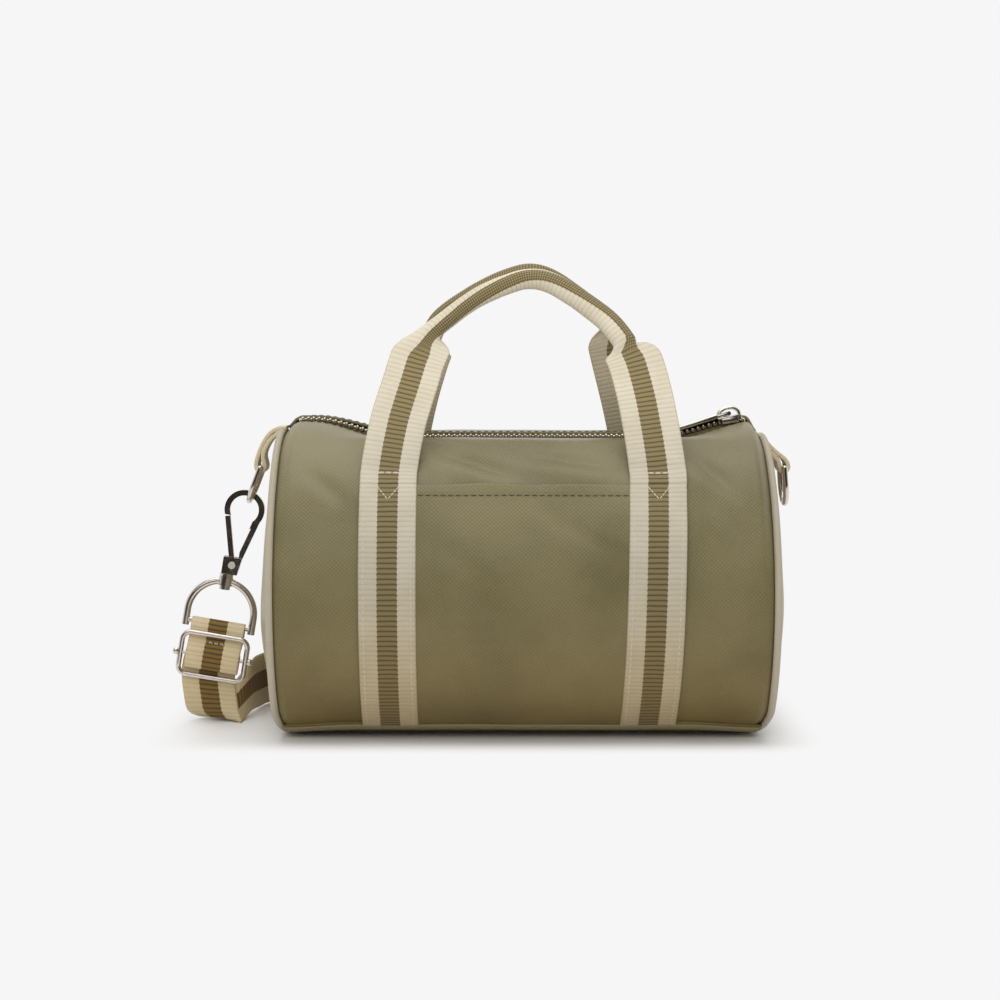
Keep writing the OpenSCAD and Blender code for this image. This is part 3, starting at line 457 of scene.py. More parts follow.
def piece(name, bm, finish, sharp=40):
    """The finished object of a mesh made in millimetres."""
    bmesh.ops.scale(bm, vec=(MM, MM, MM), verts=bm.verts)
    mesh = bpy.data.meshes.new(name)
    bm.to_mesh(mesh)
    bm.free()
    mesh.polygons.foreach_set("use_smooth", [True] * len(mesh.polygons))
    mesh.set_sharp_from_angle(angle=math.radians(sharp))
    mesh.materials.append(finish)
    obj = bpy.data.objects.new(name, mesh)
    bpy.context.scene.collection.objects.link(obj)
    return obj


def thicken(obj, thickness):
    """Gives a cloth its thickness, inwards from its face."""
    solid = obj.modifiers.new("thickness", "SOLIDIFY")
    solid.thickness = thickness * MM
    solid.offset = -1
    solid.use_even_offset = True
    return obj


def copies(pattern, places):
    """The pattern repeated at each place."""
    mesh = bpy.data.meshes.new("pattern")
    pattern.to_mesh(mesh)
    pattern.free()
    bm = bmesh.new()
    for place in places:
        first = len(bm.verts)
        bm.from_mesh(mesh)
        bm.verts.ensure_lookup_table()
        bmesh.ops.transform(bm, matrix=place, verts=bm.verts[first:])
    bpy.data.meshes.remove(mesh)
    return bm


def frame_at(point, along, out):
    """A turn and place with local x along and local z out."""
    along = Vector(along).normalized()
    out = Vector(out)
    out = (out - along * out.dot(along)).normalized()
    across = out.cross(along)
    turn = Matrix((along, across, out)).transposed().to_4x4()
    return Matrix.Translation(Vector(point)) @ turn


def stitches(name, spots, finish, length=2.6, radius=0.34):
    """Short stitches of thread; each spot is a point, the way along the seam and the way out of the cloth."""
    bm = bmesh.new()
    bmesh.ops.create_uvsphere(bm, u_segments=6, v_segments=4, radius=1)
    bmesh.ops.rotate(bm, verts=bm.verts, cent=(0, 0, 0), matrix=Matrix.Rotation(math.pi / 2, 3, "Y"))
    bmesh.ops.scale(bm, vec=(length / 2, radius, radius * 0.75), verts=bm.verts)
    return piece(name, copies(bm, [frame_at(*spot) for spot in spots]), finish, 80)


def seam_spots(point_at, pitch, length, lift=0.1):
    """Spots for stitches along a seam; point_at(share) gives a point and the way out of the cloth."""
    count = max(2, round(length / pitch))
    spots = []
    for i in range(count):
        share = (i + 0.5) / count
        here, out = point_at(share)
        ahead = point_at(share + 0.001)[0]
        behind = point_at(share - 0.001)[0]
        spots.append((Vector(here) + Vector(out).normalized() * lift, Vector(ahead) - Vector(behind), out))
    return spots


# The barrel's skin: a is the angle from the top, side is 1 on the front and -1 on the back

# The mouth lies low along its middle, lower on the front, and its ends turn up
MOUTH_DROP = 9.1
SIDE_DROP = 1.5
END_RISE = 9.5
# Where the turn up starts at the left and right end, how much further out it is on the front, and its length
LEFT_RISE = (68, 6, 47)
RIGHT_RISE = (75, 9, 49)
FRONT_SHORTER = 5
# Fall of the cloth at the left and right rim, where it starts and its length
LEFT_FALL = (6.4, 122, 10.5)
RIGHT_FALL = (9.6, 123.5, 9)
# Soft bead beside each rim, its height, place and width, and the hollow next to the piping
BEAD = (0.5, 126.3, 1.5)
HOLLOW = (0.3, 127.6, 2.2)
# Creases of the front, from one x and angle to another, with their depth
CREASES = [(-46, 34, -4, 46, 2.2), (0, 35, 50, 42, 2.0), (86, 34, 112, 54, 2.0), (14, 62, 60, 80, 1.6),
           (-40, 72, -4, 92, 1.3), (-122, 40, -92, 58, 1.6), (88, 60, 120, 84, 1.2)]
MM_PER_DEGREE = 1.55
CREASE_HALF = 5
FULL_AT = 9
FULL_HALF = 7
# How far the base draws in the right and left end, up to what height and from where
TUCK = {1: 6.4, -1: 4.2}
TUCK_TOP = 17
TUCK_FROM = 84
TUCK_SPAN = 46


def mouth_rise(x, side=0):
    """Height of the mouth over the round barrel's top."""
    start, further, span = LEFT_RISE if x < 0 else RIGHT_RISE
    share = (abs(x) - start - further * side) / (span - FRONT_SHORTER * side)
    return END_RISE * smooth(share) - MOUTH_DROP


def sag_share(a):
    """Share of the mouth's height that the cloth takes at that angle."""
    return math.cos(math.radians(90 * a / LIP_A)) ** 1.14 if a < LIP_A else 0.0


def rim_fall(x, a):
    """How far the cloth rounds down towards the rims, most at the top."""
    depth, start, span = LEFT_FALL if x < 0 else RIGHT_FALL
    return -depth * smooth((abs(x) - start) / span) * (0.1 + 0.9 * smooth((105 - abs(a)) / 70))


def crease(x, a, x0, a0, x1, a1, depth):
    """A soft hollow along a line on the skin, with the cloth a little fuller below it."""
    way = Vector((x1 - x0, (a1 - a0) * MM_PER_DEGREE))
    here = Vector((x - x0, (a - a0) * MM_PER_DEGREE))
    along = here.dot(way) / way.length_squared
    aside = (here.x * -way.y + here.y * way.x) / way.length
    across = 0.8 * bell((aside - FULL_AT) / FULL_HALF) - bell(aside / CREASE_HALF)
    return depth * bell((along - 0.5) / 0.45) * across


def slack(x, a, side):
    """Slow waves of the slack cloth."""
    wide = noise.noise(Vector((x / 52, a / 26, side * 7.3)))
    narrow = noise.noise(Vector((x / 21, a / 15, side * 3.1)))
    return wide * 1.1 + narrow * 0.35


def soften(x, a, side):
    """How far the soft cloth stands out from the round barrel."""
    bead = BEAD[0] * bell((abs(x) - BEAD[1]) / BEAD[2])
    hollow = HOLLOW[0] * smooth((abs(x) - HOLLOW[1]) / HOLLOW[2])
    waves = slack(x, a, side)
    if side == 1:
        waves += sum(crease(x, a, *line) for line in CREASES)
    free = (1 - smooth((abs(x) - 105) / 20)) * smooth((a - 4) / 30) * smooth((BASE_A - a) / 16)
    return rim_fall(x, a) + bead - hollow + free * waves


def skin(x, a, off, side=1):
    """A point off millimetres out of the cloth's face."""
    r = BARREL_R + off + soften(x, a, side)
    turn = math.radians(a)
    fall = (mouth_rise(x, side) - SIDE_DROP * side) * sag_share(a)
    return tuck(Vector((x, -side * r * math.sin(turn), BARREL_Z + r * math.cos(turn) + fall)))


def tuck(q):
    """Draws the ends in a little along the base."""
    way = 1 if q.x > 0 else -1
    q.x -= way * TUCK[way] * max(0.0, 1 - q.z / TUCK_TOP) ** 1.7 * smooth((abs(q.x) - TUCK_FROM) / TUCK_SPAN)
    return q


def underside(y):
    """Height of the soft base over the floor: it lies along its middle and rounds up to its seams."""
    y = abs(y)
    return 0.25 + 1.35 * smooth((y - 12) / 20) + 4 * max(0.0, (y - BASE_W / 2) / 12) ** 1.3


def out_of_skin(a, side=1):
    """The way out of the cloth at that angle."""
    turn = math.radians(a)
    return Vector((0, -side * math.sin(turn), math.cos(turn)))


def arc(a):
    """Length round the barrel over that angle."""
    return math.radians(a) * BARREL_R


def degrees(run):
    """Angle over which the barrel's surface runs that far."""
    return math.degrees(run / BARREL_R)


# The joints that cloth crosses

FOLD_POINT = Vector((0, -LIP_W, BARREL_Z + math.sqrt(BARREL_R ** 2 - LIP_W ** 2)))
FOLD_WAY = Vector((0, math.cos(math.radians(LIP_A)), math.sin(math.radians(LIP_A))))
FOLD_HALF = 5


def fold_with_lip(obj, side):
    """Cloth that folds back with a mouth lip; the mouth opens like an eye between its two ends."""
    flip = Vector((1, side, 1))
    start = (FOLD_POINT - FOLD_WAY * FOLD_HALF) * flip * MM
    end = (FOLD_POINT + FOLD_WAY * FOLD_HALF) * flip * MM
    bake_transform(obj, "bag", "front_lip" if side == 1 else "back_lip", start=start, end=end)
    weights = obj.data.attributes["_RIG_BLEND"]
    for vert, weight in zip(obj.data.vertices, weights.data):
        x = vert.co.x / MM
        weight.value *= smooth((x - MOUTH[0]) / MOUTH_BEND) * smooth((MOUTH[1] - x) / MOUTH_BEND)
    return obj


# Body panels with their mouth lips

def body_side(name, side, nodes):
    """Half of the body with its mouth lip, from the zip down to the base."""

    def place(u, v):
        return skin(mix(-PANEL_HALF, PANEL_HALF, u), mix(EDGE_A, PANEL_LOW_A, v), 0, side)

    def flat(u, v):
        return mix(-PANEL_HALF, PANEL_HALF, u), mix(arc(EDGE_A), arc(PANEL_LOW_A), v)

    bm = cloth_grid(190, 124, place, flat)
    if side == 1:
        bmesh.ops.reverse_faces(bm, faces=bm.faces)
    obj = thicken(piece(name, bm, OLIVE), CANVAS_T)
    fold_with_lip(obj, side)
    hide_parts(*nodes)


TRAY_R = BARREL_R + 0.9
TRAY_HALF = PANEL_HALF + 0.6
BINDING_HALF = PANEL_HALF + 0.4
BINDING_W = 4.6
BINDING_LIFT = 1.9
BINDING_ROUND = 0.5


def under_barrel(r, y):
    """Height of the underside of a barrel of that radius."""
    return BARREL_Z - math.sqrt(r * r - y * y)


def seam_half(x):
    """Half the width of the base strip there, up to its bound seams, which dip towards the corners."""
    half = math.sqrt(TRAY_R ** 2 - (BARREL_Z - BINDING_Z) ** 2)
    return half - 3 * smooth((abs(x) - 85) / 45) + 0.7 * noise.noise(Vector((x / 40, 0, 5.5)))


def base_tray():
    """Base strip whose edges turn up to the seams."""

    def place(u, v):
        x = mix(-TRAY_HALF, TRAY_HALF, u)
        y = seam_half(x) * mix(-1, 1, v)
        return tuck(Vector((x, y, max(underside(y), under_barrel(TRAY_R, y)))))

    bm = cloth_grid(120, 76, place, lambda u, v: (mix(-PANEL_HALF, PANEL_HALF, u), mix(-53, 53, v)))
    bmesh.ops.reverse_faces(bm, faces=bm.faces)
    obj = thicken(piece("base_tray", bm, OLIVE), 1.2)
    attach(obj, "bag")
    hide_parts("base_panel")


def base_binding(name, side):
    """Binding over the seam between base and body."""

    def place(u, v):
        x = mix(-BINDING_HALF, BINDING_HALF, u)
        y = seam_half(x) + 0.2 - BINDING_W * v
        out = BINDING_LIFT + BINDING_ROUND * math.sin(math.pi * v)
        return tuck(Vector((x, -side * y, under_barrel(BARREL_R + out, y))))

    bm = cloth_grid(160, 6, place, lambda u, v: (6 * v, BARREL_LEN * u))
    if side == 1:
        bmesh.ops.reverse_faces(bm, faces=bm.faces)
    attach(thicken(piece(name, bm, BINDING, 70), 0.9), "bag")


def rim_r(a, inset, floor, side):
    """Radius of an end's outline, that far inside the barrel and above the floor: round, with a flat foot."""
    halvings = 24
    high = BARREL_R - inset + rim_fall(side * BARREL_LEN / 2, a)
    down, aside = -math.cos(math.radians(a)), abs(math.sin(math.radians(a)))
    if down < 0.2 or BARREL_Z - high * down > floor + underside(high * aside):
        return high
    low = 0.0
    for _ in range(halvings):
        r = (low + high) / 2
        if BARREL_Z - r * down > floor + underside(r * aside):
            low = r
        else:
            high = r
    return low


DOME_H = 8.3
BELLY_H = 4.2
BELLY_Z = -34


def end_dome(name, side, node):
    """End panel: a low dome, fuller in its lower half."""

    def place(u, v):
        a = mix(-180, 180, u)
        r = rim_r(a, 1.4, 0.7, side) * v
        turn = math.radians(a)
        y, z = -r * math.sin(turn), r * math.cos(turn)
        round_share = 1 - v ** 2.2
        belly = BELLY_H * round_share ** 1.3 * bell((z - BELLY_Z) / 46) * bell(y / 60)
        waves = 0.7 * noise.noise(Vector((y / 34, z / 30, side * 4.4))) * smooth((1 - v) * 4)
        out = BARREL_LEN / 2 + 0.6 + DOME_H * round_share + belly + waves
        return tuck(Vector((side * out, y, BARREL_Z + z)))

    def flat(u, v):
        turn = 2 * math.pi * u
        return BARREL_R * v * math.sin(turn), BARREL_R * v * math.cos(turn)

    bm = cloth_grid(120, 36, place, flat, seam=True)
    bmesh.ops.recalc_face_normals(bm, faces=bm.faces)
    middle = max(bm.verts, key=lambda vert: side * vert.co.x)
    if middle.normal.x * side < 0:
        bmesh.ops.reverse_faces(bm, faces=bm.faces)
    obj = thicken(piece(name, bm, SHADED_CREAM), 1.2)
    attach(obj, "bag")
    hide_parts(node)


def rim_piping(name, side, node):
    """Piping cord round a rim, flat along the base."""
    cord_round, cord_len = 2 * math.pi * PIPE_R, 530

    def place(u, v):
        a = mix(-180, 180, v)
        r = rim_r(a, SEWN_GAP, PIPE_R, side)
        turn = math.radians(a)
        round_turn = 2 * math.pi * u
        out = r + PIPE_R * math.cos(round_turn)
        x = side * BARREL_LEN / 2 + PIPE_R * math.sin(round_turn)
        return tuck(Vector((x, -out * math.sin(turn), max(BARREL_Z + out * math.cos(turn), 0.1))))

    bm = cloth_grid(14, 300, place, lambda u, v: (cord_round * u, cord_len * v), seam=True, ring=True)
    bmesh.ops.recalc_face_normals(bm, faces=bm.faces)
    obj = piece(name, bm, PIPING, 70)
    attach(obj, "bag")
    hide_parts(node)


# Webbing and pocket on the body

# Section of a woven band from one edge to the middle, as shares of half its width and of its thickness
HALF_SECTION = [(1, 0.22), (0.985, 0.42), (0.94, 0.5), (0.84, 0.5), (0.7, 0.5), (0.52, 0.5), (0.35, 0.5),
                (0.17, 0.5)]
SECTION = [(-s, h) for s, h in HALF_SECTION] + [(0, 0.5)] + HALF_SECTION[::-1]
SECTION += [(s, -h) for s, h in reversed(SECTION)]
SECTION.append(SECTION[0])


def band(name, along, length, place, finish, width=WEB_W, thick=WEB_T, start=0):
    """A woven band; place(across, up, v) puts a point of its section, across the band and up out of it."""
    last = len(SECTION) - 1

    def section_at(u):
        s, h = SECTION[round(u * last)]
        return s * width / 2, h * thick

    bm = cloth_grid(last, along, lambda u, v: place(*section_at(u), v),
                    lambda u, v: (section_at(u)[0], start + length * v), seam=True)
    bmesh.ops.recalc_face_normals(bm, faces=bm.faces)
    caps = [edge for edge in bm.edges if edge.is_boundary]
    if caps:
        bmesh.ops.holes_fill(bm, edges=caps, sides=0)
    return piece(name, bm, finish, 50)


BACK_LEG_X = {1: 68, -1: -70}
FOOT_LEAN = 0.07 * LEG_X
FOOT_A = BINDING_A + 0.5
LEG_LEN = arc(BINDING_A - TACK_A)


def leg_middle(a, side, face=1):
    """Middle of a strip of webbing at that angle; the one on the front right leans in towards its foot."""
    if face == -1:
        return BACK_LEG_X[side]
    lean = FOOT_LEAN * (a - TACK_A) / (BASE_A - LIP_A) if side > 0 else 0
    return side * (LEG_X - lean)


def leg_strip(name, side, face, node):
    """Strip of webbing from the base up to its bar tack."""

    def place(across, up, v):
        a = mix(FOOT_A, TACK_A, v)
        return skin(leg_middle(a, side, face) + across, a, WEB_LIFT + WEB_T / 2 + up, face)

    obj = band(name, 110, LEG_LEN, place, WEBBING, start=-LEG_LEN)
    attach(obj, "bag")
    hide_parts(node)


POCKET_TOP_A = LIP_A + 4 * ROW_STEP - 0.8
POCKET_LEN = arc(FOOT_A - POCKET_TOP_A)
POCKET_HALF = 56
POCKET_LIFT = 1.25
POCKET_T = 1.1
POCKET_GAPE = 1.1
TUCKED_IN = 1.5
HEM_W = 6.7
HEM_LIFT = 0.35
GROOVE = 0.28


def front_pocket():
    """Open pocket between the two strips, its top edge folded and standing a little off the body."""

    def place(u, v):
        a = mix(POCKET_TOP_A, FOOT_A, v)
        left = leg_middle(a, -1) + WEB_W / 2 - TUCKED_IN
        right = leg_middle(a, 1) - WEB_W / 2 + TUCKED_IN
        down = POCKET_LEN * v
        gape = POCKET_GAPE * bell(down / 9) * math.sin(math.pi * u)
        groove = GROOVE * bell((down - HEM_W) / 0.7)
        hem = HEM_LIFT * (1 - smooth((down - HEM_W + 0.5) / 1.2))
        return skin(mix(left, right, u), a, POCKET_LIFT + gape - groove + hem, 1)

    def flat(u, v):
        return mix(-POCKET_HALF, POCKET_HALF, u), POCKET_LEN * v + 40.4

    bm = cloth_grid(80, 110, place, flat)
    bmesh.ops.reverse_faces(bm, faces=bm.faces)
    obj = thicken(piece("front_pocket_panel", bm, OLIVE), POCKET_T)
    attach(obj, "bag")
    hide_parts("front_pocket")


def pocket_stitches():
    """Row of stitches along the pocket's hem."""

    def seam(share):
        a = POCKET_TOP_A + degrees(HEM_W)
        x = mix(leg_middle(a, -1) + WEB_W / 2, leg_middle(a, 1) - WEB_W / 2, share)
        stand = 0.6 * math.sin(math.pi * min(1, max(0, share)))
        return skin(x, a, POCKET_LIFT + 0.1 + stand, 1), out_of_skin(a)

    spots = seam_spots(seam, 4, 2 * POCKET_HALF)
    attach(stitches("pocket_hem_stitches", spots, OLIVE_THREAD, 3.1, 0.3), "bag")


def edge_stitches():
    """Rows of stitches down both edges of each strip."""
    row_x = 12.4
    spots = []
    for face in (1, -1):
        for side in (-1, 1):
            for edge in (-1, 1):
                def seam(share, face=face, side=side, edge=edge):
                    a = mix(BINDING_A - 1, TACK_A + 6, share)
                    x = leg_middle(a, side, face) + edge * row_x
                    return skin(x, a, WEB_LIFT + WEB_T, face), out_of_skin(a, face)
                spots += seam_spots(seam, 3.6, LEG_LEN - 12, 0.02)
    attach(stitches("webbing_edge_stitches", spots, CREAM_THREAD, 2.5, 0.2), "bag")


def tack_stitches():
    """Bar tack at the top of each strip and the pointed row of stitches below it."""
    point_top, point_tip, point_half, tack_down, tack_pitch = 10.4, 17.6, 5.6, 1.3, 3.772
    points = []
    tacks = []
    for face in (1, -1):
        for side in (-1, 1):
            middle = leg_middle(TACK_A, side, face)
            for edge in (-1, 1):
                def slope(share, face=face, middle=middle, edge=edge):
                    a = TACK_A + degrees(mix(point_top, point_tip, share))
                    x = middle + edge * mix(point_half, 0.2, share)
                    return skin(x, a, WEB_LIFT + WEB_T, face), out_of_skin(a, face)
                points += seam_spots(slope, 2.1, 9.2, 0.16)
            a = TACK_A + degrees(tack_down)
            for step in (-1, 0, 1):
                spot = skin(middle + step * tack_pitch, a, WEB_LIFT + 0.2 + WEB_T, face)
                tacks.append((spot, (1, 0, 0), out_of_skin(a, face)))
    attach(stitches("webbing_point_stitches", points, CREAM_THREAD, 2.1, 0.36), "bag")
    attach(stitches("webbing_bar_tacks", tacks, CREAM_THREAD, 3.5, 0.62), "bag")


# Handles

# Middle line of each handle in its own plane, across and up from its bar tacks
FRONT_LINE = [(-71, -8), (-71, 0), (-69, 15), (-66.4, 29.9), (-63.3, 41.7), (-60, 53.6), (-57, 65.6),
              (-53.9, 73.4), (-50.2, 81.3), (-45.4, 86.8), (-39.5, 91.7), (-34.1, 96.8), (-23.2, 104.6),
              (-12.3, 110.4), (-1.4, 114.6), (4.1, 115.4), (9.6, 115), (15, 113.2), (20.5, 110.1),
              (31.3, 102.1), (42, 93.2), (47.4, 88), (51.8, 81.9), (55.4, 75.9), (58.4, 70.4),
              (60.6, 65), (63.3, 53.6), (65.7, 41.7), (68.8, 20), (71, 0), (71, -8)]
BACK_LINE = [(-70, -8), (-70, 0), (-67.5, 18), (-64.5, 33), (-61.5, 46), (-58.5, 57), (-55.5, 67.5),
             (-52.5, 75), (-50, 82), (-46.5, 89), (-41, 94.4), (-34.7, 99.4), (-23.5, 107.3), (-12.3, 113.7),
             (-1.2, 118.2), (4, 119.3), (9.9, 118.4), (15.5, 116), (21.1, 112.5), (35.3, 101.4), (43.9, 91.4),
             (49, 84), (52, 76.5), (54.6, 65), (57.9, 51.2), (61, 38), (63.8, 24.7),
             (67, 8), (68, 0), (68, -8)]
HANDLE_STEP = 1.25
EASE_ROUNDS = 12


def bend_path(a, b, c, steps):
    """A bend from a to c that heads for b."""
    return [mix(mix(a, b, i / steps), mix(b, c, i / steps), i / steps) for i in range(steps + 1)]


def spaced_path(points, step):
    """The same line with points every step, and its length."""
    co = np.array([tuple(q) for q in points])
    run = np.concatenate([[0], np.cumsum(np.linalg.norm(np.diff(co, axis=0), axis=1))])
    count = max(2, int(run[-1] / step))
    at = np.linspace(0, run[-1], count + 1)
    even = np.stack([np.interp(at, run, co[:, k]) for k in range(co.shape[1])], axis=1)
    for _ in range(EASE_ROUNDS):
        even[1:-1] = (even[:-2] + even[1:-1] * 2 + even[2:]) / 4
    return [Vector(q) for q in even], float(run[-1])


# The grip's oval roll, half its width and half its thickness, and the run round it from its face
ROLL_HALF = (5.4, 4.1)
ROLL_TURN = np.linspace(-math.pi, math.pi, 241)
ROLL_POINTS = np.stack([ROLL_HALF[0] * np.sin(ROLL_TURN), ROLL_HALF[1] * np.cos(ROLL_TURN)], axis=1)
ROLL_RUN = np.concatenate([[0], np.cumsum(np.linalg.norm(np.diff(ROLL_POINTS, axis=0), axis=1))])
ROLL_RUN -= ROLL_RUN[len(ROLL_TURN) // 2]
# Run from each foot to the grip, how far the roll is turned, and its width and thickness at both shoulders
GRIP_FROM = 84
FRONT_TURNED = (4.4, -4.4)
BACK_TURNED = -8.6
ROLL_WIDE = (0.82, 1.08)
ROLL_THICK = (1.2, 0.94)
# Where the webbing starts to close at each shoulder and over what run, at its outer and inner edge
FIRST_START, FIRST_SPAN = (76, 83), (25, 12)
SECOND_START, SECOND_SPAN = (73, 81), (12, 7)


def rolled(s):
    """Place in the roll's section of a point that lies s from the middle of its face."""
    turn = float(np.interp(s, ROLL_RUN, ROLL_TURN))
    return ROLL_HALF[0] * math.sin(turn), ROLL_HALF[1] * math.cos(turn)


def close_up(run, start, span, wing):
    """How far the webbing has closed to its roll: evenly, or late and suddenly where its edge stands out."""
    t = min(1.0, max(0.0, (run - start) / span))
    return mix(smooth(t), 1 - math.sqrt(1 - t * t), wing)


def grip_section(c, run, length, face):
    """Place in the section of a point of the webbing, c inwards of its middle.

    The webbing is flat at the feet and rolled in the grip. Its inner edge stands out as a wing at the first
    shoulder, and its outer edge at the second.
    """
    over = smooth((run - GRIP_FROM) / (length - 2 * GRIP_FROM))
    inside = smooth((c + 4) / 9)
    first = close_up(run, mix(*FIRST_START, inside), mix(*FIRST_SPAN, inside), inside)
    second = close_up(length - run, mix(*SECOND_START, inside), mix(*SECOND_SPAN, inside), 1 - inside)
    roll = min(first, second)
    y, n = rolled(c + (mix(*FRONT_TURNED, over) if face == 1 else BACK_TURNED))
    return Vector((mix(c, y * mix(*ROLL_WIDE, over), roll), mix(0, n * mix(*ROLL_THICK, over), roll)))


def handle(name, line, face, node):
    """Handle of webbing that lies on its strips at both feet and is rolled in the grip."""
    free_from, rolled_from, bend_from, bend_to = 7, 68, -1, 9
    points, length = spaced_path([Vector(q) for q in line], HANDLE_STEP)
    last = len(points) - 1
    tack_y = (BARREL_R + WEB_LIFT + WEB_T) * math.sin(math.radians(TACK_A))
    tack_z = BARREL_Z + (BARREL_R + WEB_LIFT + WEB_T) * math.cos(math.radians(TACK_A))

    def in_space(x, up, out):
        """From the handle's plane: sideways, up along it and out of its face."""
        y = -tack_y + up * math.sin(HANDLE_LEAN) - out * math.cos(HANDLE_LEAN)
        z = tack_z + up * math.cos(HANDLE_LEAN) + out * math.sin(HANDLE_LEAN)
        return Vector((x, face * y, z))

    def place(across, up, v):
        i = min(last, max(0, round(v * last)))
        here = points[i]
        heading = (points[min(i + 1, last)] - points[max(i - 1, 0)]).normalized()
        side = Vector((-heading.y, heading.x))
        run = length * v
        turned = run if face == 1 else length - run
        a, b, c = (grip_section(-across + d, turned, length, face) for d in (-0.2, 0, 0.2))
        level = (c - a).normalized()
        spot = b + Vector((-level.y, level.x)) * up
        x, height = here.x - side.x * spot.x, here.y - side.y * spot.x
        free = in_space(x, height, spot.y)
        if height > free_from:
            return free
        lying = skin(x, TACK_A - degrees(height), WEB_LIFT + 0.2 + WEB_T / 2 + up, face)
        return lying.lerp(free, smooth((height + 2) / (free_from + 2)))

    obj = band(name, last, length, place, WEBBING)
    mark = obj.data.attributes.new("rolled", "FLOAT", "POINT")
    for vert, value in zip(obj.data.vertices, mark.data):
        up = (vert.co.z / MM - tack_z) / math.cos(HANDLE_LEAN)
        value.value = smooth((up - rolled_from) / 10)
    start = in_space(0, bend_from, 0) * MM
    end = in_space(0, bend_to, 0) * MM
    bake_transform(obj, "bag", "front_handle" if face == 1 else "back_handle", start=start, end=end)
    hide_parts(node)


# Zip

TAPE_W = 11
TAPE_DOWN = 1.9
TAPE_T = 0.6
TOOTH_SIZE = (1.7, 3.1, 2.6)
TOOTH_OUT = 1.75
TOOTH_DOWN = {1: 0.5, -1: 1.3}
STOP_X = 121.8


def on_zip(x, y, up):
    """A point over the middle line of the zip."""
    return Vector((x, y, BARREL_TOP + mouth_rise(x) + rim_fall(x, 0) + up))


def zip_frame(x, y=0, up=0):
    """The turn and place of a piece on the zip, along its line."""
    return frame_at(on_zip(x, y, up), on_zip(x + 0.5, 0, 0) - on_zip(x - 0.5, 0, 0), (0, 0, 1))


def zip_tape(name, side, nodes):
    """Tape under one row of teeth; it drops behind them, further on the front."""

    def place(u, v):
        y = mix(0.4, TAPE_W, v)
        drop = 1.2 * smooth((y - 2.2) / 2)
        if side == 1:
            drop += 1.3 * smooth((y - 3) / 2)
        return on_zip(mix(-PANEL_HALF, PANEL_HALF, u), -side * y, -TAPE_DOWN - drop)

    bm = cloth_grid(150, 8, place, lambda u, v: (mix(-PANEL_HALF, PANEL_HALF, u), TAPE_W * v))
    if side == 1:
        bmesh.ops.reverse_faces(bm, faces=bm.faces)
    obj = thicken(piece(name, bm, TAPE), TAPE_T)
    fold_with_lip(obj, side)
    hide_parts(*nodes)


def zip_teeth(name, side, shift, nodes):
    """One row of teeth, shifted by a share of the pitch."""
    places = []
    count = int((PANEL_HALF - 3) / TOOTH_PITCH)
    for i in range(-count, count + 1):
        x = (i + shift) * TOOTH_PITCH
        if abs(x) < PANEL_HALF - 7:
            places.append(zip_frame(x, -side * TOOTH_OUT, -TOOTH_DOWN[side]))
    tooth = block(TOOTH_SIZE, (0, 0, 0), 0.6, 1)
    obj = piece(name, copies(tooth, places), TEETH_METAL, 30)
    fold_with_lip(obj, side)
    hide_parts(*nodes)


def round_bar(points, radius, sides=12, closed=False):
    """A round wire through the points."""
    line = [Vector(q) for q in points]
    last = len(line) - 1

    def place(u, v):
        i = min(last, max(0, round(v * last)))
        if closed:
            way = (line[(i + 1) % last] - line[(i - 1) % last]).normalized()
        else:
            way = (line[min(i + 1, last)] - line[max(i - 1, 0)]).normalized()
        guide = Vector((0, 1, 0)) if abs(way.y) < 0.9 else Vector((0, 0, 1))
        right = way.cross(guide).normalized()
        up = right.cross(way)
        turn = 2 * math.pi * u
        return line[i] + (right * math.cos(turn) + up * math.sin(turn)) * radius

    bm = cloth_grid(sides, last, place, lambda u, v: (2 * math.pi * radius * u, v), seam=True, ring=closed)
    caps = [edge for edge in bm.edges if edge.is_boundary]
    if caps:
        bmesh.ops.holes_fill(bm, edges=caps, sides=0)
    bmesh.ops.recalc_face_normals(bm, faces=bm.faces)
    return bm


def join(*meshes):
    """One mesh of several."""
    bm = bmesh.new()
    for part in meshes:
        mesh = bpy.data.meshes.new("part")
        part.to_mesh(mesh)
        part.free()
        bm.from_mesh(mesh)
        bpy.data.meshes.remove(mesh)
    return bm


def block(size, middle, round_off, segments=2):
    """A block with rounded edges."""
    bm = bmesh.new()
    bmesh.ops.create_cube(bm, size=1)
    bmesh.ops.scale(bm, vec=size, verts=bm.verts)
    bmesh.ops.bevel(bm, geom=bm.edges[:], offset=round_off, segments=segments, profile=0.5, affect="EDGES",
                    material=-1)
    bmesh.ops.translate(bm, vec=middle, verts=bm.verts)
    return bm


def zip_slider():
    """Slider with rounded plates, cheeks and a wire arch for the puller's pin."""
    plate_w, cheek_size, arch_foot, arch_low, arch_half, arch_h = 8.8, (9.2, 1.1, 3.2), 1.4, 2.6, 5.9, 4
    arch = [(arch_half + 0.1, 0, arch_foot)]
    for t in range(0, 181, 10):
        turn = math.radians(t)
        arch.append((arch_half * math.cos(turn), 0, arch_low + arch_h * math.sin(turn)))
    arch.append((-arch_half - 0.1, 0, arch_foot))
    top_plate = block((13.4, plate_w, 1.3), (0, 0, 1.5), 0.5)
    low_plate = block((9.4, plate_w, 1.1), (0, 0, -4.1), 0.4)
    cheeks = [block(cheek_size, (0, side * 4.3, -0.3), 0.4) for side in (-1, 1)]
    wedge = block((2.4, 0.8, 4.6), (3.2, 0, -1.5), 0.2)
    bm = join(top_plate, low_plate, *cheeks, wedge, round_bar(arch, 1.05))
    bmesh.ops.transform(bm, matrix=zip_frame(SLIDER_X), verts=bm.verts)
    obj = piece("slider_body", bm, ZIP_METAL, 30)
    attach(obj, "slider")
    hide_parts("zip_slider")


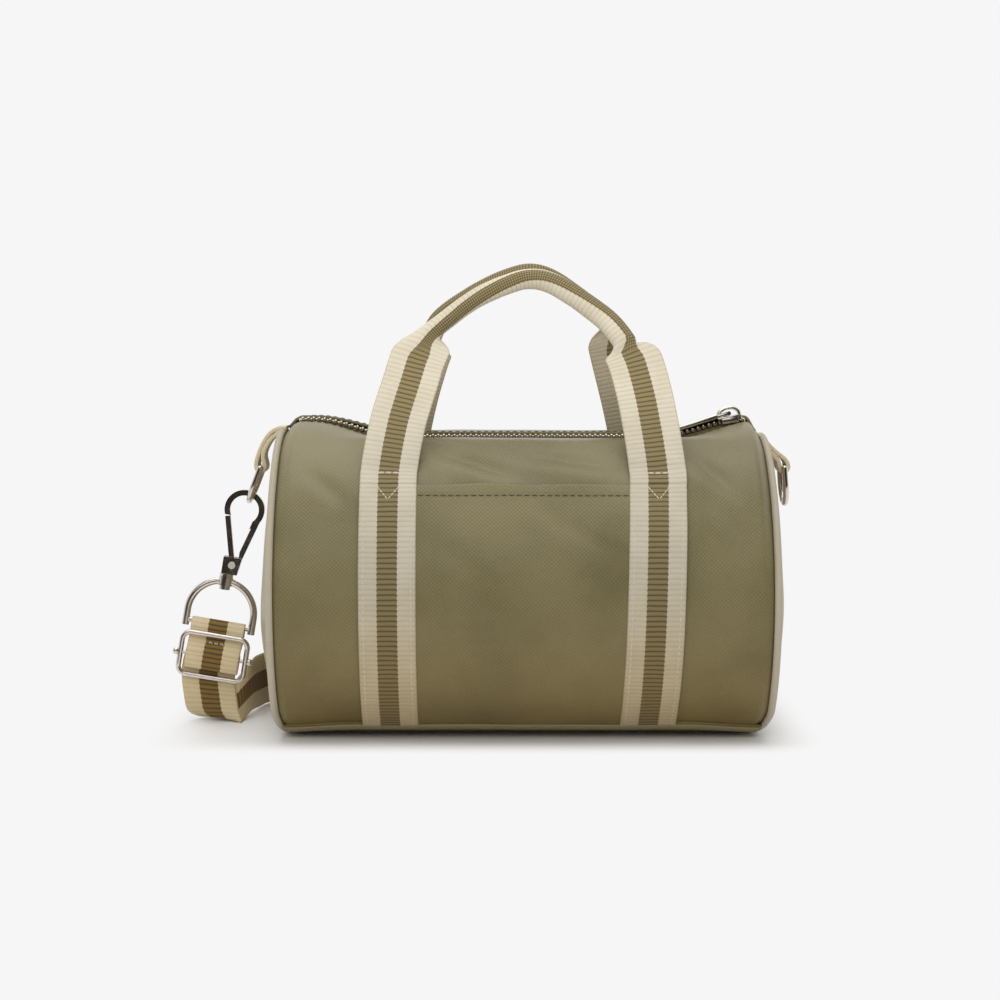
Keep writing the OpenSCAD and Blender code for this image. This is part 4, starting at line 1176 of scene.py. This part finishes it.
def zip_puller():
    """Plain bar on a round pin."""
    pin_half, pin_r, pin_z, lift_angle = 3.7, 1.15, 3.6, math.radians(-8)
    pin = round_bar([(0, y, 0) for y in (-pin_half, 0.2 - pin_half, pin_half - 0.2, pin_half)], pin_r, 20)
    bar = block((31, 6.6, 2.6), (-21.5, 0, 0.3), 0.8, 3)
    arms = [block((7, 1.5, 2), (-3.4, side * 2.5, 0), 0.6) for side in (-1, 1)]
    bm = join(pin, bar, *arms)
    bmesh.ops.rotate(bm, verts=bm.verts, cent=(0, 0, 0), matrix=Matrix.Rotation(lift_angle, 3, "Y"))
    bmesh.ops.translate(bm, verts=bm.verts, vec=(0, 0, pin_z))
    bmesh.ops.transform(bm, matrix=zip_frame(SLIDER_X), verts=bm.verts)
    obj = piece("puller_bar", bm, ZIP_METAL, 30)
    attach(obj, "puller")
    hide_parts("zip_puller")


def lip_stitches(name, side):
    """Row of stitches along the mouth, beside the zip."""
    seam_half = 118

    def seam(share):
        x = mix(-seam_half, seam_half, share)
        return skin(x, EDGE_A + 1.9, 0.12, side), out_of_skin(EDGE_A, side)

    spots = seam_spots(seam, 4, 2 * seam_half, 0.05)
    fold_with_lip(stitches(name, spots, OLIVE_THREAD, 2.7, 0.3), side)


def zip_stops():
    """Metal stop at each end of the zip."""
    stop = block((2.6, 6.6, 1.3), (0, 0, 0), 0.5)
    places = [zip_frame(x, 0, -0.9) for x in (-STOP_X, STOP_X)]
    obj = piece("zip_end_stops", copies(stop, places), ZIP_METAL, 30)
    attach(obj, "bag")
    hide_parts("zip_stops")


# Tabs

# Middle line of each tab, out from the bag's middle and up: from the rim round the ring's bar and back
WRAP = [(147.4, 145.4), (147.3, 142.6), (145.9, 141), (143.9, 140.7), (142.1, 141.9), (141.6, 144)]
LEFT_TAB = [(130.4, 165.4), (134.2, 165.8), (138.2, 164), (141.6, 160), (144.2, 155), (146.2, 149.6)] + WRAP
LEFT_TAB += [(143, 147.4), (143.7, 150.2), (142.2, 154.2), (139.9, 158.4), (137, 161.6), (133.6, 163.2)]
RIGHT_TAB = [(128.6, 162.6), (131.6, 161), (134.6, 158), (137.6, 154.6), (141, 151.4), (145.4, 148.6)] + WRAP
RIGHT_TAB += [(142.4, 146.4), (140.8, 148.8), (137.8, 151.4), (135, 154.6), (132.8, 157.4)]


def leather_tab(name, side, node):
    """Leather strip that holds a ring."""
    line = RIGHT_TAB if side == 1 else LEFT_TAB
    points, length = spaced_path([Vector((x, 0, z)) for x, z in line], 0.9)
    last = len(points) - 1

    def place(across, up, v):
        i = min(last, max(0, round(v * last)))
        way = points[min(i + 1, last)] - points[max(i - 1, 0)]
        out = Vector((-way.z, 0, way.x)).normalized()
        spot = points[i] + out * up
        return Vector((side * spot.x, across, spot.z))

    obj = band(name, last, length, place, LEATHER, width=17.6, thick=2.3)
    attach(obj, "bag")
    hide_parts(node)


# Hardware of the clips and the adjuster

def eased_part(node, name, body, finish):
    """The part's own shape with its sharp edges eased."""
    ease_r = 0.55
    bm = bmesh.new()
    bm.from_mesh(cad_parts[node].data)
    bmesh.ops.scale(bm, vec=(1 / MM, 1 / MM, 1 / MM), verts=bm.verts)
    bmesh.ops.remove_doubles(bm, verts=bm.verts, dist=0.001)
    bmesh.ops.dissolve_limit(bm, angle_limit=math.radians(1), verts=bm.verts, edges=bm.edges)
    obj = piece(name, bm, finish, 30)
    ease = obj.modifiers.new("ease", "BEVEL")
    ease.width = ease_r * MM
    ease.segments = 3
    ease.limit_method = "ANGLE"
    ease.angle_limit = math.radians(40)
    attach(obj, body)
    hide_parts(node)


def adjuster_frame():
    """Frame of round wire with rounded corners."""
    half_u, half_v, corner, wire_r = 18.3, 11.9, 4.6, 1.45
    line = []
    for k, (u, v) in enumerate(((1, 1), (-1, 1), (-1, -1), (1, -1))):
        for t in range(0, 91, 10):
            turn = math.radians(90 * k + t)
            across = u * (half_u - corner) + corner * math.cos(turn)
            along = v * (half_v - corner) + corner * math.sin(turn)
            line.append(chain_point(across, ADJUSTER_N, ADJUSTER_V + along))
    line.append(line[0])
    obj = piece("adjuster_frame_wire", round_bar(line, wire_r, 16, closed=True), NICKEL, 60)
    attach(obj, "adjuster")
    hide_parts("adjuster_frame")


def adjuster_bar():
    """Loose bar of the adjuster, with a ball at each end."""
    bar_half, bar_r, ball_r = 20.6, 1.0, 2.1
    ends = [chain_point(u, ADJUSTER_N, ADJUSTER_V) for u in (-bar_half, bar_half)]
    parts = [round_bar([ends[0], ends[0].lerp(ends[1], 0.1), ends[1]], bar_r, 16)]
    for end in ends:
        ball = bmesh.new()
        bmesh.ops.create_uvsphere(ball, u_segments=24, v_segments=16, radius=ball_r)
        bmesh.ops.translate(ball, vec=end, verts=ball.verts)
        parts.append(ball)
    obj = piece("adjuster_bar_with_balls", join(*parts), NICKEL, 60)
    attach(obj, "adjuster_bar")
    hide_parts("adjuster_bar")


# Shoulder strap

def chain_point(u, n, v):
    """A point of the hanging chain: u along the loop's bar, n out to the back, v up the strap."""
    return Vector((CHAIN[0] + u * math.cos(CHAIN_TILT) + v * math.sin(CHAIN_TILT), n,
                   CHAIN[1] - u * math.sin(CHAIN_TILT) + v * math.cos(CHAIN_TILT)))


RUN_Y = math.sqrt(BARREL_R ** 2 - (BARREL_Z - WEB_W) ** 2) + 4.5
LAST_RUN_Y = RUN_Y + (RUN_COUNT - 1) * RUN_STEP
TAIL_X = -75
FREE_TIP = math.radians(3)
FREE_REACH = 34.15
FREE_LIFT = 4.15
FREE = (TAIL_X + 3.3 * WEB_W, LAST_RUN_Y + 0.57 * WEB_W, FREE_LIFT + FREE_REACH * math.sin(FREE_TIP))
FOOT = Vector((-(BARREL_LEN / 2 + FOOT_OUT), 0, 0))
STRAP_LOW = 0.03

# Edges of the strap from the chain to the floor and its tail to the free clip, in widths of the webbing
LEFT_EDGE = [(-1.067, -0.02, 1), (-1.033, 0.03, 0.533), (-0.933, 0.2, 0.167), (-0.717, 0.467, 0.06),
             (-0.483, 0.667, 0.2), (-0.217, 0.75, 0.533), (0, 0.9, 0.883), (0.217, 1.733, 1.033)]
RIGHT_EDGE = [(-0.067, -0.02, 0.85), (-0.043, -0.01, 0.467), (-0.017, -0.03, 0.167), (0, -0.067, 0.05),
              (0.017, -0.033, 0.04), (0.033, 0.067, 0.033), (0.083, 0.333, 0.03), (0.233, 1.667, 0.03)]
TAIL = [(0, 0, 0.03), (0.8, 0.02, 0.03), (1.55, 0.05, 0.03), (2.2, 0.07, 0.06), (2.75, 0.07, 0.15)]
TAIL_LEANS = [math.radians(a) for a in (90, 70, 45, 20, 4)]


def free_point(u, n, v):
    """A point of the free clip's end, which lies on the floor with its tip down."""
    spot = Vector((FREE[0] + v * math.cos(FREE_TIP), FREE[1] + u, FREE[2] - v * math.sin(FREE_TIP)))
    return spot + Vector((math.sin(FREE_TIP), 0, math.cos(FREE_TIP))) * n


def strap_edges():
    """Upper and lower edge of the strap, from the clip's loop to the free clip's."""
    v0 = -FOLD_LEN - SEWN_GAP
    near = FOOT + WEB_W * (Vector(LEFT_EDGE[-1]) + Vector(RIGHT_EDGE[-1])) / 2
    start = Vector((near.x, near.y))
    runs = bend_path(start, Vector((near.x + WEB_W / 8, RUN_Y)), Vector((-RUN_HALF - WEB_W / 4, RUN_Y)), 5)
    turn_r, turn_steps = RUN_STEP / 2, 6
    for k in range(RUN_COUNT - 1):
        way = 1 if k % 2 == 0 else -1
        for i in range(turn_steps + 1):
            a = math.pi * i / turn_steps
            y = RUN_Y + k * RUN_STEP + turn_r * (1 - math.cos(a))
            runs.append(Vector((way * (RUN_HALF + turn_r * math.sin(a)), y)))
    tail = [Vector((TAIL_X, LAST_RUN_Y, 0)) + WEB_W * Vector(s) for s in TAIL]
    low = STRAP_LOW * WEB_W
    upper = [chain_point(-WEB_W / 2, FOLD_BEND_R, v0)] + [FOOT + WEB_W * Vector(s) for s in LEFT_EDGE]
    upper += [Vector((q.x, q.y, low + WEB_W)) for q in runs[1:]]
    for q, lean in zip(tail, TAIL_LEANS):
        upper.append(q + WEB_W * Vector((0, math.cos(lean), math.sin(lean))))
    upper.append(free_point(WEB_W / 2, 0, v0))
    lower = [chain_point(WEB_W / 2, FOLD_BEND_R, v0)] + [FOOT + WEB_W * Vector(s) for s in RIGHT_EDGE]
    lower += [Vector((q.x, q.y, low)) for q in runs[1:]]
    lower += tail + [free_point(-WEB_W / 2, 0, v0)]
    return upper, lower


def eased(points, knots, at):
    """Points of a smooth line through the given ones at those places."""
    co = np.array([tuple(q) for q in points])
    knots = np.array(knots)
    slope = np.zeros_like(co)
    gaps = np.diff(knots)[:, None]
    secant = np.diff(co, axis=0) / gaps
    slope[1:-1] = (secant[:-1] * gaps[1:] + secant[1:] * gaps[:-1]) / (gaps[:-1] + gaps[1:])
    slope[0], slope[-1] = secant[0], secant[-1]
    out = []
    for s in at:
        i = int(min(len(knots) - 2, max(0, np.searchsorted(knots, s) - 1)))
        h = knots[i + 1] - knots[i]
        t = (s - knots[i]) / h
        q = (co[i] * (2 * t ** 3 - 3 * t ** 2 + 1) + slope[i] * h * (t ** 3 - 2 * t ** 2 + t)
             + co[i + 1] * (3 * t ** 2 - 2 * t ** 3) + slope[i + 1] * h * (t ** 3 - t ** 2))
        out.append(Vector(q))
    return out


def shoulder_strap():
    """The strap between its two folds, on edge behind the bag and flat at its tail."""
    step_len = 3
    upper, lower = strap_edges()
    middle = [(a + b) / 2 for a, b in zip(upper, lower)]
    knots = [0]
    for a, b in zip(middle[:-1], middle[1:]):
        knots.append(knots[-1] + (b - a).length)
    length = knots[-1]
    steps = int(length / step_len)
    at = [length * i / steps for i in range(steps + 1)]
    tops, lows = eased(upper, knots, at), eased(lower, knots, at)

    def place(across, up, v):
        i = round(v * steps)
        span = (tops[i] - lows[i]).normalized()
        middle_here = (tops[i] + lows[i]) / 2
        ahead, behind = min(i + 1, steps), max(i - 1, 0)
        way = (tops[ahead] + lows[ahead] - tops[behind] - lows[behind]).normalized()
        out = span.cross(way).normalized()
        return middle_here + span * across + out * up

    obj = band("shoulder_strap_webbing", steps, length, place, STRAP)
    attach(obj, "bag")
    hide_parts("shoulder_strap")


def fold_line():
    """Webbing up behind a bar, round it and down in front; each point is out of its face and along it."""
    line = [(FOLD_BEND_R, -FOLD_LEN), (FOLD_BEND_R, -FOLD_LEN / 2)]
    for t in range(0, 181, 15):
        turn = math.radians(t)
        line.append((FOLD_BEND_R * math.cos(turn), FOLD_BEND_R * math.sin(turn)))
    return line + [(-FOLD_BEND_R, -FOLD_LEN / 2), (-FOLD_BEND_R, -FOLD_LEN)]


def webbing_run(name, line, point, start, node, body):
    """Webbing along such a line; point(u, n, v) puts it on its chain, and its weave begins at start."""
    points, length = spaced_path([Vector((n, v)) for n, v in line], 0.8)
    last = len(points) - 1

    def place(across, up, v):
        i = min(last, max(0, round(v * last)))
        way = (points[min(i + 1, last)] - points[max(i - 1, 0)]).normalized()
        spot = points[i] + Vector((way.y, -way.x)) * up
        return point(across, spot.x, spot.y)

    obj = band(name, last, length, place, STRAP, start=start)
    if body == "adjuster":
        top, foot = chain_point(0, -3, -FOLD_LEN - 0.5), chain_point(0, -3, ADJUSTER_V + 2)
        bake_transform(obj, "bag", "adjuster", start=top * MM, end=foot * MM)
    else:
        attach(obj, body)
    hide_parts(node)


# The webbing's way back from the clip's fold to the adjuster, and its loop round the adjuster's bar
LOOP_TOP = (-6.8, -16.6)
RETURN_LINE = [(-FOLD_BEND_R, -FOLD_LEN), (-2.7, -9), (-3.8, -10.6), (-5.2, -12.6), (-6.2, -14.6), LOOP_TOP]
LOOP_LINE = [LOOP_TOP, (-7.3, -19), (-7.3, -21.5), (-6.8, -23.8), (-5.9, -25.6), (-4.7, -26.5), (-3.6, -26),
             (-3, -24), (-2.8, -21), (-2.75, -18), (-2.75, -15.5)]
RETURN_START, LOOP_START = 23, 33


def strap_folds():
    """The fold at each clip, the way back to the adjuster and the loop round its bar."""
    webbing_run("clip_fold", fold_line(), chain_point, 0, "clip_end_fold", "bag")
    webbing_run("free_fold", fold_line(), free_point, 0, "free_end_fold", "bag")
    webbing_run("return_strip", RETURN_LINE, chain_point, RETURN_START, "strap_return", "adjuster")
    webbing_run("adjuster_loop", LOOP_LINE, chain_point, LOOP_START, "adjuster_wrap", "adjuster_bar")


def fold_stitches():
    """Zigzag that closes the clip's fold."""
    count, pitch, zig_n, zig_v, lean = 7, 1.6, -4.55, -10.9, 1.3
    zigzag = []
    for i in range(count):
        spot = chain_point((i - (count - 1) / 2) * pitch, zig_n, zig_v)
        zigzag.append((spot, (1, 0, lean if i % 2 else -lean), (0, -1, 0.6)))
    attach(stitches("fold_zigzag", zigzag, CREAM_THREAD, 2.6, 0.42), "bag")


# Lining and inner pocket

LINING_T = 0.4


def lining_sock():
    """Lining of the front, the base and the back in one length."""
    low_a, base_len, lining_in, base_z = 148.5, 92, CANVAS_T + 0.5, 4.9
    side_len = arc(low_a - LIP_A)
    total = 2 * side_len + base_len

    def place(u, v):
        x = mix(-PANEL_HALF + 0.9, PANEL_HALF - 0.9, u)
        run = total * v
        folds = 0.6 + 0.5 * noise.noise(Vector((x / 30, run / 45, 9.1)))
        if run < side_len:
            return skin(x, mix(LIP_A, low_a, run / side_len), -lining_in - folds, 1)
        if run > total - side_len:
            return skin(x, mix(LIP_A, low_a, (total - run) / side_len), -lining_in - folds, -1)
        share = (run - side_len) / (total - 2 * side_len)
        edge = skin(x, low_a, -lining_in - folds, 1)
        y = mix(edge.y, -edge.y, share)
        return Vector((x, y, mix(edge.z, base_z, smooth(min(share, 1 - share) * 12))))

    bm = cloth_grid(60, 150, place, lambda u, v: (mix(-PANEL_HALF, PANEL_HALF, u), total * v))
    obj = thicken(piece("lining_cloth", bm, LINING), LINING_T)
    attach(obj, "bag")
    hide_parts("lining")


def lining_end(name, side):
    """Lining of one end, a flat disc just inside it."""
    flat_r = 85

    def place(u, v):
        a = mix(-180, 180, u)
        r = rim_r(a, 3.4, 4.6, side) * v
        turn = math.radians(a)
        return Vector((side * (PANEL_HALF - 0.7), -r * math.sin(turn), BARREL_Z + r * math.cos(turn)))

    def flat(u, v):
        turn = 2 * math.pi * u
        return flat_r * v * math.sin(turn), flat_r * v * math.cos(turn)

    bm = cloth_grid(72, 12, place, flat, seam=True)
    bmesh.ops.recalc_face_normals(bm, faces=bm.faces)
    obj = thicken(piece(name, bm, LINING), LINING_T)
    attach(obj, "bag")


def inner_pocket():
    """Slip pocket inside the back; its top edge gapes a little."""
    top_a, low_a = LIP_A + 8 * ROW_STEP, LIP_A + 15 * ROW_STEP
    half_w, height, hang_in = 53, 67, CANVAS_T + 2.3

    def place(u, v):
        x = mix(-half_w, half_w, u)
        gape = 2.2 * bell(v / 0.35) * math.sin(math.pi * u)
        return skin(x, mix(top_a, low_a, v), -hang_in - gape, -1)

    bm = cloth_grid(40, 30, place, lambda u, v: (2 * half_w * u, height * v))
    obj = thicken(piece("inner_slip_pocket", bm, LINING), 0.5)
    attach(obj, "bag")
    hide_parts("inner_pocket")


# Studio

def add_light(name, place, aim, size, power):
    """A soft white light; place, aim and size are in metres, power in watts."""
    data = bpy.data.lights.new(name, "AREA")
    data.shape = "RECTANGLE"
    data.size, data.size_y = size
    data.energy = power
    light = bpy.data.objects.new(name, data)
    light.location = place
    light.rotation_euler = (Vector(aim) - Vector(place)).to_track_quat("-Z", "Y").to_euler()
    bpy.context.scene.collection.objects.link(light)


PALE = (0.923, 0.923, 0.923, 1)
DARK_SIDE = (0.03, 0.026, 0.02, 1)
SOFT_LIGHT = (1, 0.99, 0.97, 1)
SOFT_POWER = 0.62


def studio_world():
    """Soft even light; the camera sees a pale room, and polished metal sees it darker on the near side."""
    world = bpy.data.worlds.new("studio")
    world.use_nodes = True
    nodes, links = world.node_tree.nodes, world.node_tree.links
    nodes.clear()
    out = nodes.new("ShaderNodeOutputWorld")
    soft = nodes.new("ShaderNodeBackground")
    soft.inputs[0].default_value = SOFT_LIGHT
    soft.inputs[1].default_value = SOFT_POWER
    pale = nodes.new("ShaderNodeBackground")
    pale.inputs[0].default_value = PALE
    room = nodes.new("ShaderNodeBackground")
    place = nodes.new("ShaderNodeTexCoord")
    parts = nodes.new("ShaderNodeSeparateXYZ")
    ramp = nodes.new("ShaderNodeValToRGB")
    near, far = ramp.color_ramp.elements
    near.position, near.color = 0.12, DARK_SIDE
    far.position, far.color = 0.62, (1, 1, 1, 1)
    shift = nodes.new("ShaderNodeMath")
    shift.operation = "MULTIPLY_ADD"
    shift.inputs[1].default_value = 0.5
    shift.inputs[2].default_value = 0.5
    links.new(place.outputs["Generated"], parts.inputs[0])
    links.new(parts.outputs[1], shift.inputs[0])
    links.new(shift.outputs[0], ramp.inputs[0])
    links.new(ramp.outputs[0], room.inputs[0])
    path = nodes.new("ShaderNodeLightPath")
    clear = nodes.new("ShaderNodeMath")
    clear.operation = "MAXIMUM"
    links.new(path.outputs["Is Camera Ray"], clear.inputs[0])
    links.new(path.outputs["Is Transmission Ray"], clear.inputs[1])
    first = nodes.new("ShaderNodeMixShader")
    links.new(clear.outputs[0], first.inputs[0])
    links.new(soft.outputs[0], first.inputs[1])
    links.new(pale.outputs[0], first.inputs[2])
    second = nodes.new("ShaderNodeMixShader")
    links.new(path.outputs["Is Glossy Ray"], second.inputs[0])
    links.new(first.outputs[0], second.inputs[1])
    links.new(room.outputs[0], second.inputs[2])
    links.new(second.outputs[0], out.inputs[0])
    bpy.context.scene.world = world


# The bag's place on the floor as middle and half along x and y, in metres; outside it the floor glows
SHADOW_BOX = ((0, -0.022, 0.144), (1, 0.036, 0.09))
SHADOW_FADE = 0.042
DARK_FROM, DARK_TO = -0.5, -0.16
FLOOR_R = 6000


def studio_floor():
    """Pale floor that keeps the bag's shadow and runs out into the pale room."""
    bm = bmesh.new()
    bmesh.ops.create_circle(bm, cap_ends=True, segments=64, radius=FLOOR_R)
    obj = piece("studio_floor", bm, floor_finish())


def floor_finish():
    """Pale paint near the bag; further out the floor glows like the room, and metal sees it dark in front."""
    made = Finish("pale_floor", 0.9, specular=0.0)
    made.colour(PALE)
    place = made.nodes.new("ShaderNodeTexCoord")
    glow = made.nodes.new("ShaderNodeEmission")
    path = made.nodes.new("ShaderNodeLightPath")
    parts = made.nodes.new("ShaderNodeSeparateXYZ")
    made.links.new(place.outputs["Object"], parts.inputs[0])
    away = []
    for axis, middle, half in SHADOW_BOX:
        aside = made.calc("ABSOLUTE", made.calc("SUBTRACT", parts.outputs[axis], middle))
        far_side = made.calc("MAXIMUM", made.calc("SUBTRACT", aside, half), 0.0)
        away.append(made.times(far_side, far_side))
    far = made.step(made.calc("SQRT", made.add(*away)), 0.0, SHADOW_FADE)
    near = made.calc("SUBTRACT", 1.0, made.step(parts.outputs[1], DARK_FROM, DARK_TO))
    dark = made.times(near, path.outputs["Is Glossy Ray"])
    made.links.new(made.blend(dark, PALE, DARK_SIDE), glow.inputs[0])
    mirrored = made.calc("MAXIMUM", path.outputs["Is Glossy Ray"], path.outputs["Is Transmission Ray"])
    seen = made.calc("MAXIMUM", path.outputs["Is Camera Ray"], mirrored)
    both = made.nodes.new("ShaderNodeMixShader")
    made.links.new(made.calc("MAXIMUM", made.times(far, seen), dark), both.inputs[0])
    made.links.new(made.shader.outputs[0], both.inputs[1])
    made.links.new(glow.outputs[0], both.inputs[2])
    out = made.nodes["Material Output"]
    made.links.new(both.outputs[0], out.inputs[0])
    return made.material


bpy.context.scene.view_settings.view_transform = "Standard"
add_camera()
studio_world()
studio_floor()
add_light("top_softbox", (-0.1, -0.1, 1.7), (0, 0, 0.1), (1.8, 1.5), 12)
add_light("front_softbox", (-0.5, -1.7, 1.1), (0, 0, 0.1), (1.8, 1.2), 7)

body_side("front_body", 1, ["front_panel", "front_mouth_lip"])
body_side("back_body", -1, ["back_panel", "back_mouth_lip"])
base_tray()
base_binding("base_binding_front", 1)
base_binding("base_binding_back", -1)
end_dome("left_end", -1, "left_end_panel")
end_dome("right_end", 1, "right_end_panel")
rim_piping("left_rim_piping", -1, "left_piping")
rim_piping("right_rim_piping", 1, "right_piping")
leg_strip("front_strip_left", -1, 1, "front_webbing_left")
leg_strip("front_strip_right", 1, 1, "front_webbing_right")
leg_strip("back_strip_left", -1, -1, "back_webbing_left")
leg_strip("back_strip_right", 1, -1, "back_webbing_right")
front_pocket()
pocket_stitches()
edge_stitches()
tack_stitches()
handle("front_handle_webbing", FRONT_LINE, 1, "front_handle")
handle("back_handle_webbing", BACK_LINE, -1, "back_handle")
zip_tape("zip_tape_near", 1, ["zip_tape_front", "zip_end_left"])
zip_tape("zip_tape_far", -1, ["zip_tape_back", "zip_end_right"])
zip_teeth("zip_teeth_near", 1, 0.5, ["zip_teeth_front"])
zip_teeth("zip_teeth_far", -1, 0, ["zip_teeth_back"])
lip_stitches("lip_stitches_near", 1)
lip_stitches("lip_stitches_far", -1)
zip_slider()
zip_puller()
zip_stops()
leather_tab("left_leather_tab", -1, "left_tab")
leather_tab("right_leather_tab", 1, "right_tab")
shoulder_strap()
strap_folds()
fold_stitches()
lining_sock()
lining_end("left_lining_end", -1)
lining_end("right_lining_end", 1)
inner_pocket()

for node, body in (("left_hook_body", "clip_hook"), ("left_hook_gate", "clip_gate"),
                   ("free_hook_body", "free_hook"), ("free_hook_gate", "free_gate")):
    eased_part(node, node + "_eased", body, NICKEL)
adjuster_frame()
adjuster_bar()
for name in ("left_ring", "right_ring", "left_swivel_loop", "free_swivel_loop"):
    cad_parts[name].material_slots[0].material = NICKEL
for name in ("left_gate_pin", "free_gate_pin"):
    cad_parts[name].material_slots[0].material = SCREW_METAL
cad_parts["base_board"].material_slots[0].material = BOARD
